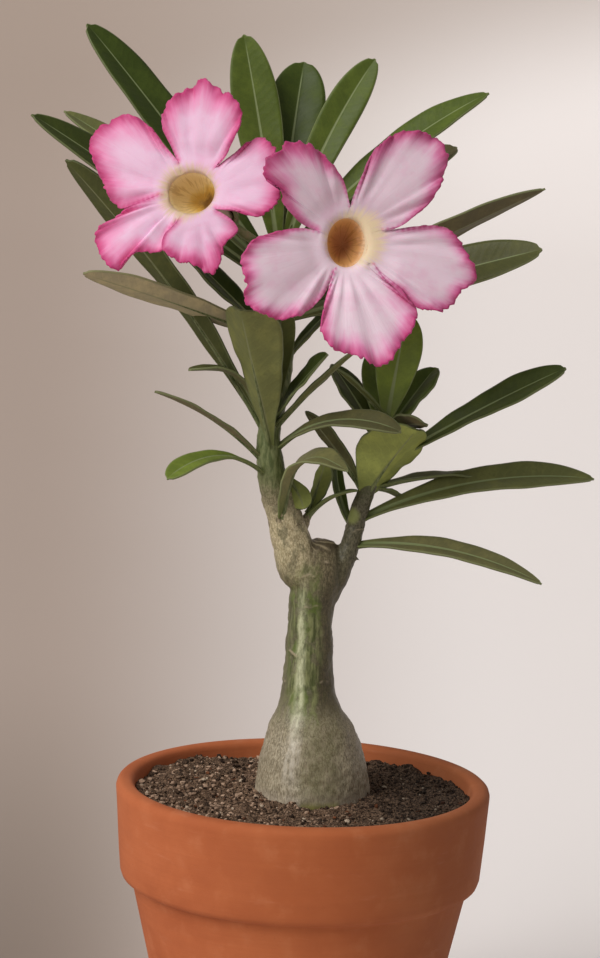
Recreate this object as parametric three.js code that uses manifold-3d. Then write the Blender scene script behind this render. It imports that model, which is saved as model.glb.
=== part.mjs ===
// Desert rose (adenium) in a clay pot: a swollen stem, two leafy branches and two open flowers.
// Millimetres, +Z up, +Y to the back. The origin is the centre of the pot's foot, on the ground.

import * as THREE from 'three';
import { mergeVertices } from 'three/addons/utils/BufferGeometryUtils.js';
import Module from 'manifold-3d';

const wasm = await Module();
wasm.setup();

// ---------- driving dimensions ----------

const clearance = 0.3; // gap kept between pieces that touch

const pot = {
  height: 112,
  rimRadius: 62.5,
  rimWall: 7.2,
  bandHeight: 33,
  bandFootRadius: 60.2,
  bodyTopRadius: 56.2,
  footRadius: 39,
  bodyWall: 5,
  floor: 8,
  drainRadius: 6,
  segments: 40,
};

const soil = {
  topHeight: 107.6,
  unevenness: 1.1,
  rings: 5,
};

const flesh = 0.7; // leaf thickness
const petalFlesh = 0.7;
const broadLeafWidth = 14.8; // leaves from this width up have more columns

// Places up the stems: x, y, height, radius.
const trunkStations = [
  [3, 0, 90, 12],
  [3, 0, 99, 17],
  [3, 0, 105, 19],
  [3, 0, 110, 19.2],
  [2.6, 0, 118, 18],
  [1.8, 0, 127, 15.6],
  [1.1, 0, 132.5, 13.4],
  [0.7, 0, 138, 10.4],
  [0.4, 0, 146, 8.6],
  [0.4, 0, 156, 7.8],
  [0.5, 0, 166, 7.5],
  [0.9, 0, 174, 7.7],
  [1.6, 0, 181, 8.3],
  [2.8, 0.8, 188, 7.2],
  [4, 1.3, 192.4, 4.9],
  [4.2, 1.4, 194.2, 2.8],
];

const trunkMesh = { sides: 20, rings: 28 };

const leftBranchStations = [
  [0, -0.6, 177, 5],
  [-3.4, -1.2, 184, 6.9],
  [-5.8, -1.5, 190, 6.8],
  [-7.8, -1.6, 197.6, 6.2],
  [-10.4, -1.8, 205, 5.5],
  [-12.4, -2.4, 210, 5.1],
];

const rightBranchStations = [
  [4, 0, 172, 4],
  [8, 0.6, 180, 4],
  [11, 1.4, 187, 3.6],
  [13.2, 2.2, 194, 3.2],
  [14.4, 2.5, 199, 3.1],
];

const leftStemStations = [
  [-8.2, -1.6, 198.6, 6],
  [-10.4, -1.8, 205, 5.4],
  [-13.2, -2.8, 213, 4.9],
  [-14.9, -3.6, 222, 4.3],
  [-15.2, -3.4, 231, 3.7],
  [-13, -1, 240, 3.3],
  [-11.4, 2, 250, 3.1],
  [-11.2, 5, 262, 3],
  [-12.4, 8, 275, 3],
  [-14, 10, 286, 2.8],
  [-14.6, 10.4, 291, 1.8],
];

const rightStemStations = [
  [11.2, 1.4, 187.4, 3.4],
  [13.2, 2.2, 194, 3.1],
  [15.2, 2.8, 203, 3],
  [18, 2.6, 212, 2.8],
  [21, 2.4, 222, 2.6],
  [23, 2.6, 231, 2.4],
  [23.6, 3, 235, 1.4],
];

const sideShootStations = [
  [-4.2, 0.6, 196.5, 1.5],
  [-2.4, 1.4, 200.5, 1.4],
  [-1, 2, 203.6, 0.9],
];

// Heights at which the bare branches end and the green stems stand on them.
const leftJointHeight = 204;
const rightJointHeight = 191;

// Every leaf: height of its root on the stem, or the root's own place, compass bearing (0 is +X, 90
// the back), how steeply it rises at the root, how far it arches over to its tip, its size, the turn
// of its blade about the midrib, and how pointed it is, from 0, blunt and broad near the end, to 1.
// Angles are in degrees.
// Some leaves also say where along them they are widest, between which shares of the length they
// droop (bend), and how slender the foot is (neck).
const leafUsual = { widest: 0.68, bend: [0, 1], neck: 1.25 };

const upperCrown = [
  { z: 277, bearing: 167, rise: 53, droop: 6, length: 108, width: 16, roll: 35, point: 0.15, widest: 0.72 },
  { z: 275, bearing: 193, rise: 36, droop: 5, length: 101.5, width: 14.5, roll: 42, point: 0.45 },
  { z: 278, bearing: 147, rise: 36, droop: 14, length: 105, width: 12, roll: 20, point: 0.5 },
  {
    z: 283, bearing: 136, rise: 77.3, droop: 5, length: 77.5, width: 15.6,
    roll: 50, point: 0.1, widest: 0.7,
  },
  { z: 284, bearing: 76, rise: 80, droop: 20, length: 69.5, width: 19, roll: -12, point: 0.12, widest: 0.75 },
  {
    z: 283, bearing: 26, rise: 75.5, droop: 22, length: 76, width: 12.5,
    roll: -55, point: 0.1, widest: 0.74,
  },
  { z: 283, bearing: 13, rise: 53, droop: 26, length: 91, width: 13.5, roll: -30, point: 0.45, neck: 1.6 },
  { z: 281, bearing: 27, rise: 42, droop: 19, length: 77, width: 17, roll: -20, point: 0.1 },
  { z: 267, bearing: 1, rise: 29.5, droop: 3, length: 95, width: 14, roll: 32, point: 0.9 },
  { z: 266, bearing: -9, rise: 20, droop: 4, length: 88, width: 16, roll: -50, point: 0.1 },
  { z: 258, bearing: -158, rise: 21, droop: 5, length: 74, width: 12, roll: -35, point: 0.2 },
  { z: 256, bearing: 176, rise: 43, droop: 0, length: 52, width: 12.5, roll: 20, point: 0.5 },
  { z: 252, bearing: 42, rise: 43, droop: 10, length: 32, width: 5.5, roll: 0, point: 0.5 },
];

const lowerCrown = [
  {
    z: 228, bearing: 178, rise: 59, droop: 14, length: 112.5, width: 14.5,
    roll: -45, point: 0.3, widest: 0.78,
  },
  {
    z: 231, bearing: -160, rise: 57, droop: 58, length: 38, width: 9,
    roll: 0, point: 0.2, bend: [0.42, 0.78],
  },
  { z: 218, bearing: -155, rise: 45, droop: 26, length: 50, width: 8, roll: 0, point: 0.5 },
  {
    z: 213, bearing: -133, rise: 42, droop: 72, length: 53, width: 7.6,
    roll: 22, point: 0.1, widest: 0.84, neck: 3,
  },
  {
    root: [-14.4, -6, 224], bearing: -114, rise: 62, droop: 2, length: 55.5, width: 20,
    roll: 6, point: 0.1, widest: 0.86, neck: 1.35,
  },
  { z: 239, bearing: -88, rise: 62, droop: 6, length: 43, width: 10, roll: 0, point: 0.5 },
  { z: 233, bearing: -50, rise: 47, droop: 8, length: 38, width: 11, roll: -50, point: 0.5 },
  { z: 229, bearing: -34, rise: 46, droop: 6, length: 46, width: 5, roll: 0, point: 0.5 },
  {
    z: 222, bearing: -27, rise: 48, droop: 68, length: 52, width: 8.6,
    roll: -34, point: 0.3, widest: 0.78, neck: 1.6,
  },
  {
    root: [-10.2, -6.8, 204.4], bearing: -38, rise: 75, droop: 92, length: 39, width: 12.5,
    roll: -20, point: 0.6, widest: 0.46, bend: [0.3, 0.8], neck: 1,
  },
  {
    root: [-9, -2.6, 215], bearing: -24, rise: -40, droop: 34, length: 12, width: 7.6,
    roll: 122, point: 0, widest: 0.7, neck: 1.4,
  },
];

const rightCrown = [
  {
    z: 206.5, bearing: -38, rise: 57, droop: 10, length: 34, width: 23.5,
    roll: 24, point: 0.1, widest: 0.66,
  },
  { z: 225, bearing: 140, rise: 54, droop: 12, length: 34, width: 13, roll: 0, point: 0.5 },
  { z: 236, bearing: -150, rise: 42, droop: 4, length: 27, width: 5, roll: 0, point: 0.6 },
  { z: 227, bearing: 42, rise: 50, droop: 10, length: 33, width: 14, roll: 0, point: 0.1 },
  { z: 232, bearing: -53, rise: 16, droop: 10, length: 20, width: 9, roll: 30, point: 0 },
  { z: 232, bearing: 60, rise: 75, droop: 6, length: 38, width: 15, roll: -20, point: 0 },
  { z: 228, bearing: 97, rise: 54, droop: 10, length: 35, width: 12, roll: 0, point: 0 },
  {
    z: 217, bearing: 3, rise: 34, droop: 8, length: 72, width: 12.5,
    roll: -30, point: 0.15, widest: 0.75, neck: 1.9,
  },
  { z: 200, bearing: 8, rise: 27, droop: 33, length: 82.3, width: 12, roll: -35, point: 0.5 },
  { z: 211, bearing: 19, rise: 16, droop: 30, length: 51, width: 10, roll: 0, point: 0.5 },
  { z: 192, bearing: -12, rise: 10, droop: 35, length: 66, width: 8.6, roll: -30, point: 0.5, widest: 0.55 },
  { z: 212, bearing: 38, rise: -10, droop: 20, length: 15, width: 7, roll: 0, point: 0.5 },
  { z: 209, bearing: -170, rise: 60, droop: 14, length: 35, width: 7.4, roll: -35, point: 0.5 },
  { z: 197, bearing: 134, rise: 44, droop: -50, length: 27, width: 5, roll: 0, point: 0.5 },
];

const sideLeaves = [
  { z: 202.5, bearing: 20, rise: 68, droop: -8, length: 18.5, width: 8, roll: -20, point: 0.3 },
  { z: 201.5, bearing: -15, rise: 50, droop: 40, length: 20, width: 5, roll: 0, point: 0.5 },
];

// The two flowers: where the mouth opens, which way it faces, and its five lobes, counted from
// straight right of the mouth anticlockwise in degrees.
const flowerForm = {
  openingRadius: 5.8,
  throatRadius: 8.2,
  fusedRadius: 9.2,
  ringWidth: 2.6,
  tubeRadius: 3.4,
  tubeLength: 34,
  funnelDepth: 20,
  wall: 0.8,
  rows: 7,
  columns: 8,
};

const leftFlower = {
  name: 'left_flower',
  mouth: [-41.5, -35, 310.5],
  facing: [-0.3, -0.9, 0.33],
  root: [-14.4, 9.6, 287],
  lobes: [
    { angle: 10, length: 23, width: 26, cup: 0, curl: 0.15 },
    { angle: 89, length: 27, width: 27, cup: 0.35, curl: 0.15 },
    { angle: 158, length: 29, width: 27, cup: 0.35, curl: 0.15 },
    { angle: 222, length: 27, width: 20, cup: 0.4, curl: 0.2 },
    { angle: 283, length: 23, width: 20, cup: 0.7, curl: 0.2 },
  ],
};

const rightFlower = {
  name: 'right_flower',
  mouth: [8.6, -44, 297.5],
  facing: [0.1, -0.98, 0.15],
  root: [-12.8, 8.6, 280],
  lobes: [
    { angle: 52, length: 33, width: 26, cup: 0.2, curl: 0.16 },
    { angle: 132, length: 30, width: 24, cup: 0.35, curl: 0.16 },
    { angle: 202, length: 28, width: 28, cup: 0.24, curl: 0.16 },
    { angle: 283, length: 31, width: 28, cup: 0.2, curl: 0.16 },
    { angle: 346, length: 33, width: 28, cup: 0.2, curl: 0.16 },
  ],
};

// ---------- solids ----------

const radians = THREE.MathUtils.degToRad;
const upright = new THREE.Vector3(0, 0, 1);

function signedVolume(geometry) {
  const place = geometry.getAttribute('position');
  const order = geometry.getIndex();
  const corner = [new THREE.Vector3(), new THREE.Vector3(), new THREE.Vector3()];
  let sum = 0;
  for (let i = 0; i < order.count; i += 3) {
    corner.forEach((point, k) => point.fromBufferAttribute(place, order.getX(i + k)));
    sum += corner[0].dot(corner[1].cross(corner[2])) / 6;
  }
  return sum;
}

// A closed geometry as a solid, with its faces turned outwards.
function solidOf(geometry) {
  geometry.deleteAttribute('normal');
  geometry.deleteAttribute('uv');
  const merged = mergeVertices(geometry, 1e-4);
  const corners = Array.from(merged.getIndex().array);
  const kept = [];
  for (let i = 0; i < corners.length; i += 3) {
    const [a, b, c] = corners.slice(i, i + 3);
    if (a !== b && b !== c && c !== a) {
      kept.push(a, b, c);
    }
  }
  merged.setIndex(kept);
  if (signedVolume(merged) < 0) {
    kept.reverse();
  }
  const mesh = new wasm.Mesh({
    numProp: 3,
    vertProperties: new Float32Array(merged.getAttribute('position').array),
    triVerts: new Uint32Array(kept),
  });
  return new wasm.Manifold(mesh);
}

// The solid as a geometry, without the crumbs that joining can leave.
function geometryOf(solid) {
  const bodies = solid.decompose();
  bodies.sort((one, other) => other.volume() - one.volume());
  const mesh = bodies[0].getMesh();
  const geometry = new THREE.BufferGeometry();
  geometry.setAttribute('position', new THREE.BufferAttribute(mesh.vertProperties, 3));
  geometry.setIndex(new THREE.BufferAttribute(mesh.triVerts, 1));
  geometry.computeVertexNormals();
  return geometry;
}

function joined(solids) {
  return solids.reduce((whole, next) => whole.add(next));
}

// Centre line and radius of a limb that runs through stations of [x, y, z, radius].
function limbLine(stations) {
  const centres = stations.map(([x, y, z]) => new THREE.Vector3(x, y, z));
  const radii = stations.map(([, , , radius]) => new THREE.Vector3(radius, 0, 0));
  const path = new THREE.CatmullRomCurve3(centres, false, 'catmullrom', 0.5);
  const girth = new THREE.CatmullRomCurve3(radii, false, 'catmullrom', 0.5);
  return { path, girth };
}

// A round limb along its stations. The reference direction keeps its rings from twisting.
function limbSolid(stations, { sides, rings, extra = 0, reference = new THREE.Vector3(0, 1, 0) }) {
  const { path, girth } = limbLine(stations);
  const limb = new THREE.CylinderGeometry(1, 1, 1, sides, rings);
  const place = limb.getAttribute('position');
  const point = new THREE.Vector3();
  for (let i = 0; i < place.count; i += 1) {
    point.fromBufferAttribute(place, i);
    const along = point.y + 0.5;
    const heading = path.getTangent(along);
    const first = reference.clone().cross(heading).normalize();
    const second = first.clone().cross(heading);
    const radius = girth.getPoint(along).x + extra;
    const centre = path.getPoint(along);
    centre.addScaledVector(first, point.x * radius);
    centre.addScaledVector(second, point.z * radius);
    place.setXYZ(i, centre.x, centre.y, centre.z);
  }
  return solidOf(limb);
}

// The point on a limb's centre line at a height.
function centreAt(stations, height) {
  const { path } = limbLine(stations);
  const steps = 200;
  let best = path.getPoint(0);
  for (let i = 0; i <= steps; i += 1) {
    const point = path.getPoint(i / steps);
    if (Math.abs(point.z - height) < Math.abs(best.z - height)) {
      best = point;
    }
  }
  return best;
}

// A thin blade whose middle surface is place(across, along), with across from -1 to 1 and along from
// 0 to 1. Both faces are divided alike.
function bladeSolid(columns, rows, thickness, place) {
  const sheet = new THREE.PlaneGeometry(2, 1, columns, rows);
  const middle = sheet.getAttribute('position');
  const count = middle.count;
  for (let i = 0; i < count; i += 1) {
    const point = place(middle.getX(i), middle.getY(i) + 0.5);
    middle.setXYZ(i, point.x, point.y, point.z);
  }
  sheet.computeVertexNormals();
  const outward = sheet.getAttribute('normal');
  const corners = new Float32Array(count * 6);
  for (let i = 0; i < count; i += 1) {
    for (const [side, start] of [[0.5, 0], [-0.5, count]]) {
      corners[(start + i) * 3] = middle.getX(i) + outward.getX(i) * thickness * side;
      corners[(start + i) * 3 + 1] = middle.getY(i) + outward.getY(i) * thickness * side;
      corners[(start + i) * 3 + 2] = middle.getZ(i) + outward.getZ(i) * thickness * side;
    }
  }
  const upper = Array.from(sheet.getIndex().array);
  const lower = upper.map((corner) => corner + count).reverse();
  const edge = [];
  const width = columns + 1;
  for (let column = 0; column < columns; column += 1) {
    edge.push(rows * width + column);
  }
  for (let row = rows; row > 0; row -= 1) {
    edge.push(row * width + columns);
  }
  for (let column = columns; column > 0; column -= 1) {
    edge.push(column);
  }
  for (let row = 0; row < rows; row += 1) {
    edge.push(row * width);
  }
  const rim = [];
  edge.forEach((corner, i) => {
    const next = edge[(i + 1) % edge.length];
    rim.push(corner + count, next + count, next);
    rim.push(corner + count, next, corner);
  });
  const blade = new THREE.BufferGeometry();
  blade.setAttribute('position', new THREE.BufferAttribute(corners, 3));
  blade.setIndex([...upper, ...lower, ...rim]);
  return solidOf(blade);
}

// ---------- leaves ----------

// How wide a leaf is along its length: a narrow stalk, broadest past the middle, a short point.
function leafWidth(leaf, along) {
  const { width, point, widest, neck } = { ...leafUsual, ...leaf };
  const stalk = 2.4 * (1 - along) ** 3;
  const past = Math.max((along - widest) / (1 - widest), 0);
  const foot = Math.sin((Math.PI / 2) * Math.min(along / widest, 1)) ** neck;
  const tip = Math.max(1 - past ** (2 - 0.3 * point), 0) ** (0.5 + 0.4 * point);
  return Math.max(width * foot * tip + stalk, 0.8);
}

// The midrib as an arc: a list of places with the heading and the upper face's direction there.
function midribOf(leaf, root) {
  const steps = 48;
  const stride = leaf.length / steps;
  const [bendFrom, bendTo] = leaf.bend ?? leafUsual.bend;
  const point = root.clone();
  const midrib = [];
  for (let i = 0; i <= steps; i += 1) {
    const bent = (i / steps - bendFrom) / (bendTo - bendFrom);
    const rise = radians(leaf.rise - leaf.droop * Math.min(Math.max(bent, 0), 1));
    const bearing = radians(leaf.bearing);
    const heading = new THREE.Vector3(
      Math.cos(bearing) * Math.cos(rise),
      Math.sin(bearing) * Math.cos(rise),
      Math.sin(rise),
    );
    const left = new THREE.Vector3(-Math.sin(bearing), Math.cos(bearing), 0);
    const face = heading.clone().cross(left);
    const roll = radians(leaf.roll);
    const turned = face.clone().multiplyScalar(Math.cos(roll)).addScaledVector(left, Math.sin(roll));
    midrib.push({ point: point.clone(), face: turned, right: heading.clone().cross(turned) });
    point.addScaledVector(heading, stride);
  }
  return midrib;
}

function leafSolid(leaf, root) {
  const midrib = midribOf(leaf, root);
  const lastStep = midrib.length - 1;
  const troughDepth = 0.16; // how far the sides stand up from the midrib, as a part of the half width
  const waves = 2.4;
  const waveHeight = 0.035 * leaf.width;
  const [columns, rows] = leaf.width > broadLeafWidth ? [4, 7] : [2, 7];
  return bladeSolid(columns, rows, flesh, (across, share) => {
    const along = Math.sin((Math.PI / 2) * share); // the rows crowd towards the tip
    const station = midrib[Math.round(along * lastStep)];
    const half = leafWidth(leaf, along) / 2;
    const ripple = Math.sin(2 * Math.PI * waves * along + (across > 0 ? 0 : 2)) * across ** 2;
    const wave = waveHeight * ripple * Math.sin(Math.PI * along);
    const lift = half * troughDepth * Math.abs(across) ** 1.5 + wave;
    const point = station.point.clone();
    point.addScaledVector(station.right, across * half);
    point.addScaledVector(station.face, lift);
    return point;
  });
}

function leavesOn(stations, leaves) {
  return leaves.map((leaf) => {
    const root = leaf.root ? new THREE.Vector3(...leaf.root) : centreAt(stations, leaf.z);
    return leafSolid(leaf, root);
  });
}

// ---------- flowers ----------

// Turns a flower's own directions, x right, y up and z out of the mouth, into the part's.
function flowerFrame(flower) {
  const out = new THREE.Vector3(...flower.facing).normalize();
  const right = upright.clone().cross(out).normalize();
  const up = out.clone().cross(right);
  const frame = new THREE.Matrix4().makeBasis(right, up, out);
  return frame.setPosition(...flower.mouth);
}

// How wide a petal is along its length: joined at the mouth, broad past the middle, blunt at the end.
function lobeWidth(lobe, along) {
  const neck = 0.4 * (1 - along) ** 1.5;
  const broad = Math.sin(Math.PI * along ** 1.75) ** 0.75;
  return Math.max(lobe.width * (neck + broad), 0.8);
}

function lobeSolid(flower, lobe, frame) {
  const { fusedRadius, rows, columns } = flowerForm;
  const waves = 2.5;
  const ruffle = 1.3;
  const angle = radians(lobe.angle);
  const phase = lobe.angle;
  return bladeSolid(columns, rows, petalFlesh, (across, along) => {
    const half = lobeWidth(lobe, along) / 2;
    const reach = fusedRadius + lobe.length * along;
    const side = -across * half;
    const overlap = across * half * 0.14 * (1 - 0.5 * along);
    const turn = 2 * Math.PI * waves * along + phase + 2.2 * across;
    const margin = ruffle * across ** 2 * along * Math.sin(turn);
    const height = lobe.length * (lobe.cup * along - lobe.curl * along ** 2) + overlap + margin;
    const x = Math.cos(angle) * reach - Math.sin(angle) * side;
    const y = Math.sin(angle) * reach + Math.cos(angle) * side;
    return new THREE.Vector3(x, y, height).applyMatrix4(frame);
  });
}

// A turned shape about the flower's axis, from points of [radius, height].
function turned(points, segments, frame) {
  const profile = points.map(([radius, height]) => new THREE.Vector2(radius, height));
  const shape = new THREE.LatheGeometry(profile, segments);
  shape.rotateX(Math.PI / 2);
  shape.applyMatrix4(frame);
  return solidOf(shape);
}

function petalsSolid(flower, frame) {
  const { throatRadius, ringWidth, wall } = flowerForm;
  const inner = throatRadius + clearance;
  const outer = inner + ringWidth;
  const ring = turned(
    [[inner, -wall / 2], [outer, -wall / 2], [outer, wall / 2], [inner, wall / 2], [inner, -wall / 2]],
    30,
    frame,
  );
  return joined([ring, ...flower.lobes.map((lobe) => lobeSolid(flower, lobe, frame))]);
}

function throatSolid(frame) {
  const { throatRadius, openingRadius, funnelDepth, tubeRadius, tubeLength, wall } = flowerForm;
  const outside = [
    [0, -tubeLength],
    [tubeRadius - 0.6, -tubeLength],
    [tubeRadius, -tubeLength + 1],
    [tubeRadius + 0.2, -funnelDepth],
    [openingRadius - 0.2, -funnelDepth / 2],
    [openingRadius + wall + 0.6, -3.4],
    [throatRadius, -0.8],
    [throatRadius, 0.4],
  ];
  const inside = [
    [throatRadius - wall, 0.7],
    [openingRadius + 0.5, -0.8],
    [openingRadius - 0.3, -3.6],
    [openingRadius - 1.4, -funnelDepth / 2],
    [tubeRadius - wall, -funnelDepth],
    [tubeRadius - wall, -tubeLength + 2],
    [0, -tubeLength + 2],
  ];
  return turned([...outside, ...inside], 18, frame);
}

// The green cup of five sepals that holds the tube, with the flower's stalk.
function calyxSolid(flower, frame) {
  const { tubeRadius, tubeLength } = flowerForm;
  const cupRadius = tubeRadius + clearance;
  const back = -tubeLength;
  const cup = turned(
    [
      [0, back - 4],
      [1.8, back - 3.4],
      [3.6, back - 1.6],
      [cupRadius + 1, back + 1],
      [cupRadius + 0.9, back + 3.6],
      [cupRadius, back + 3.6],
      [cupRadius, back - clearance],
      [0, back - clearance],
    ],
    12,
    frame,
  );
  const sepals = [0, 1, 2, 3, 4].map((number) => {
    const angle = radians(90 + 72 * number);
    const [length, width] = [8, 4.2];
    return bladeSolid(2, 3, flesh, (across, along) => {
      const half = Math.max((width / 2) * Math.cos((Math.PI / 2) * along) ** 0.7, 0.4);
      const reach = cupRadius + 0.55 + 1.2 * along ** 2;
      const x = Math.cos(angle) * reach + Math.sin(angle) * across * half;
      const y = Math.sin(angle) * reach - Math.cos(angle) * across * half;
      return new THREE.Vector3(x, y, back + 1 + length * along).applyMatrix4(frame);
    });
  });
  const seat = new THREE.Vector3(0, 0, back - 2.4).applyMatrix4(frame);
  const behind = new THREE.Vector3(0, 0, back - 9).applyMatrix4(frame);
  const root = new THREE.Vector3(...flower.root);
  const bend = behind.clone().lerp(root, 0.5);
  bend.z -= 0.6;
  const stations = [root, bend, behind, seat].map((point, i) => [...point, 1.7 - 0.1 * i]);
  const stalk = limbSolid(stations, { sides: 8, rings: 7, reference: new THREE.Vector3(1, 0, 0) });
  const stem = limbSolid(leftStemStations, { sides: 10, rings: 22, extra: clearance });
  return joined([cup, ...sepals, stalk]).subtract(stem);
}

// ---------- pot, soil and trunk ----------

function potSolid() {
  const { height, rimRadius, rimWall, bandHeight, bandFootRadius } = pot;
  const { bodyTopRadius, footRadius, bodyWall, floor, drainRadius } = pot;
  const bandFoot = height - bandHeight;
  const mouth = rimRadius - rimWall;
  const outside = [
    [drainRadius, 0],
    [footRadius - 1, 0],
    [footRadius, 1],
    [bodyTopRadius, bandFoot],
    [bandFootRadius - 2.2, bandFoot],
    [bandFootRadius - 0.6, bandFoot + 0.7],
    [bandFootRadius, bandFoot + 2.2],
    [rimRadius, height - 3.4],
    [rimRadius - 0.3, height - 1.6],
    [rimRadius - 1.8, height - 0.2],
    [rimRadius - 2.8, height],
  ];
  const inside = [
    [mouth + 2.4, height],
    [mouth + 0.6, height - 0.8],
    [mouth, height - 2.6],
    [bodyTopRadius - bodyWall, bandFoot - 2],
    [footRadius - 2.6, floor],
    [drainRadius, floor],
    [drainRadius, 0],
  ];
  const profile = [...outside, ...inside].map(([radius, z]) => new THREE.Vector2(radius, z));
  const shape = new THREE.LatheGeometry(profile, pot.segments);
  shape.rotateX(Math.PI / 2);
  return solidOf(shape);
}

function soilLevel(x, y) {
  const swell = Math.sin(0.17 * x + 1.1) * Math.sin(0.15 * y + 0.4);
  const lumps = Math.sin(0.43 * x - 0.2 * y) * Math.sin(0.38 * y + 0.25 * x + 2);
  return soil.topHeight + soil.unevenness * (0.6 * swell + 0.5 * lumps);
}

function soilSolid() {
  const { height, rimRadius, rimWall, bandHeight, bodyTopRadius, footRadius, bodyWall, floor } = pot;
  const mouth = rimRadius - rimWall - clearance;
  const waist = height - bandHeight - 2;
  const slope = (mouth - bodyTopRadius + bodyWall + clearance) / (height - 2.6 - waist);
  const topRadius = mouth - slope * (height - 2.6 - soil.topHeight) - 0.1;
  const profile = [
    [0, floor + clearance],
    [footRadius - 3.2, floor + clearance],
    [bodyTopRadius - bodyWall - clearance - 0.1, waist],
    [topRadius, soil.topHeight],
  ];
  for (let ring = 1; ring <= soil.rings; ring += 1) {
    profile.push([topRadius * (1 - ring / soil.rings), soil.topHeight]);
  }
  const shape = new THREE.LatheGeometry(profile.map(([r, z]) => new THREE.Vector2(r, z)), pot.segments);
  shape.rotateX(Math.PI / 2);
  const place = shape.getAttribute('position');
  for (let i = 0; i < place.count; i += 1) {
    const [x, y, z] = [place.getX(i), place.getY(i), place.getZ(i)];
    if (z > soil.topHeight - 0.01) {
      place.setZ(i, soilLevel(x, y));
    }
  }
  const socket = limbSolid(trunkStations, { ...trunkMesh, extra: clearance });
  const lowered = trunkStations.map(([x, y, z, radius]) => [x, y, z - clearance, radius]);
  const underfoot = limbSolid(lowered, { ...trunkMesh, extra: clearance });
  return solidOf(shape).subtract(socket).subtract(underfoot);
}

// A block that takes away all that lies above a height, or all that lies below it.
function blockFrom(height, above) {
  const size = 400;
  const block = new THREE.BoxGeometry(size, size, size);
  block.translate(0, 0, height + (above ? size / 2 : -size / 2));
  return solidOf(block);
}

function trunkSolid() {
  const stem = limbSolid(trunkStations, trunkMesh);
  const leftBranch = limbSolid(leftBranchStations, { sides: 14, rings: 9 });
  const rightBranch = limbSolid(rightBranchStations, { sides: 10, rings: 7 });
  return joined([
    stem,
    leftBranch.subtract(blockFrom(leftJointHeight, true)),
    rightBranch.subtract(blockFrom(rightJointHeight, true)),
  ]);
}

// A leafy stem that stands on the end of a branch, cut level, with all of its leaves.
function leafyStem(stations, rings, leaves, jointHeight) {
  const stem = limbSolid(stations, { sides: 10, rings });
  const foot = blockFrom(jointHeight + clearance, false);
  return joined([stem.subtract(foot), ...leavesOn(stations, leaves)]);
}

// The small shoot on the flank of the left branch.
function sideShoot() {
  const stem = limbSolid(sideShootStations, { sides: 8, rings: 3 });
  const whole = joined([stem, ...leavesOn(sideShootStations, sideLeaves)]);
  const branch = limbSolid(leftBranchStations, { sides: 14, rings: 9, extra: clearance });
  return whole.subtract(branch);
}

// ---------- materials ----------

function material(color, roughness) {
  return new THREE.MeshStandardMaterial({ color, roughness, metalness: 0 });
}

const terracotta = () => material(0xb9683f, 0.85);
const pottingSoil = () => material(0x2e2019, 0.95);
const bark = () => material(0x8b8a72, 0.8);
const leafGreen = () => material(0x3f5f2a, 0.45);
const petalPink = () => material(0xeeb6cf, 0.6);
const throatYellow = () => material(0xcfa95e, 0.6);
const calyxGreen = () => material(0x75853f, 0.55);

// ---------- the plant in its pot ----------

const plant = new THREE.Group();

function addPiece(name, solid, finish) {
  const piece = new THREE.Mesh(geometryOf(solid), finish);
  piece.name = name;
  plant.add(piece);
}

const leftLeaves = [...upperCrown, ...lowerCrown];

addPiece('pot', potSolid(), terracotta());
addPiece('soil', soilSolid(), pottingSoil());
addPiece('trunk', trunkSolid(), bark());
addPiece('left_leafy_stem', leafyStem(leftStemStations, 22, leftLeaves, leftJointHeight), leafGreen());
addPiece('right_leafy_stem', leafyStem(rightStemStations, 10, rightCrown, rightJointHeight), leafGreen());
addPiece('side_shoot', sideShoot(), leafGreen());

for (const flower of [leftFlower, rightFlower]) {
  const frame = flowerFrame(flower);
  addPiece(`${flower.name}_petals`, petalsSolid(flower, frame), petalPink());
  addPiece(`${flower.name}_throat`, throatSolid(frame), throatYellow());
  addPiece(`${flower.name}_calyx`, calyxSolid(flower, frame), calyxGreen());
}

export default plant;
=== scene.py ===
import math
import random

import bmesh
import bpy
from mathutils import Matrix, Vector, noise


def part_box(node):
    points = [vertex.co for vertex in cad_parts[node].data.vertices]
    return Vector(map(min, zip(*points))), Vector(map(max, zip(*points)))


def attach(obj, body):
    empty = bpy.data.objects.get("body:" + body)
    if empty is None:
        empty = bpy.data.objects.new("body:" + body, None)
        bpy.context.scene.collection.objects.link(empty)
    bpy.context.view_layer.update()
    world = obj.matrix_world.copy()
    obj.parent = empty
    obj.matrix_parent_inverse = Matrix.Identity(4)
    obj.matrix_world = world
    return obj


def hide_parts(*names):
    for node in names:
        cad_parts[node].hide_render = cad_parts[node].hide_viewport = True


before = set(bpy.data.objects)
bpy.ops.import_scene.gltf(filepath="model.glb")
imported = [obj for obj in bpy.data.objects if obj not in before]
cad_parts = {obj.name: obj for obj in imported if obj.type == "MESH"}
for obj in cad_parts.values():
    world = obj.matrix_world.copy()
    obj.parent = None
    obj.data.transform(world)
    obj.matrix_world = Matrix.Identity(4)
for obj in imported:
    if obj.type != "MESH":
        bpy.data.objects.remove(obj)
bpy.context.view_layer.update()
mm = 0.001
print("frame loaded:", sorted(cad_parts))


camera = {
    "place": (-0.00459, -1.07020, 0.38561),
    "right": (0.99939, 0.00552, 0.03446),
    "up": (-0.03490, 0.15806, 0.98681),
    "lens": 123.6,
    "sensor": 36.0,
}


def addCamera():
    data = bpy.data.cameras.new("camera")
    data.lens = camera["lens"]
    data.sensor_width = camera["sensor"]
    data.clip_start = 0.05
    data.clip_end = 60
    eye = bpy.data.objects.new("camera", data)
    bpy.context.scene.collection.objects.link(eye)
    right = Vector(camera["right"]).normalized()
    back = right.cross(Vector(camera["up"])).normalized()
    up = back.cross(right)
    turn = Matrix((right, up, back)).transposed()
    eye.matrix_world = Matrix.Translation(camera["place"]) @ turn.to_4x4()
    bpy.context.scene.camera = eye


addCamera()


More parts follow.
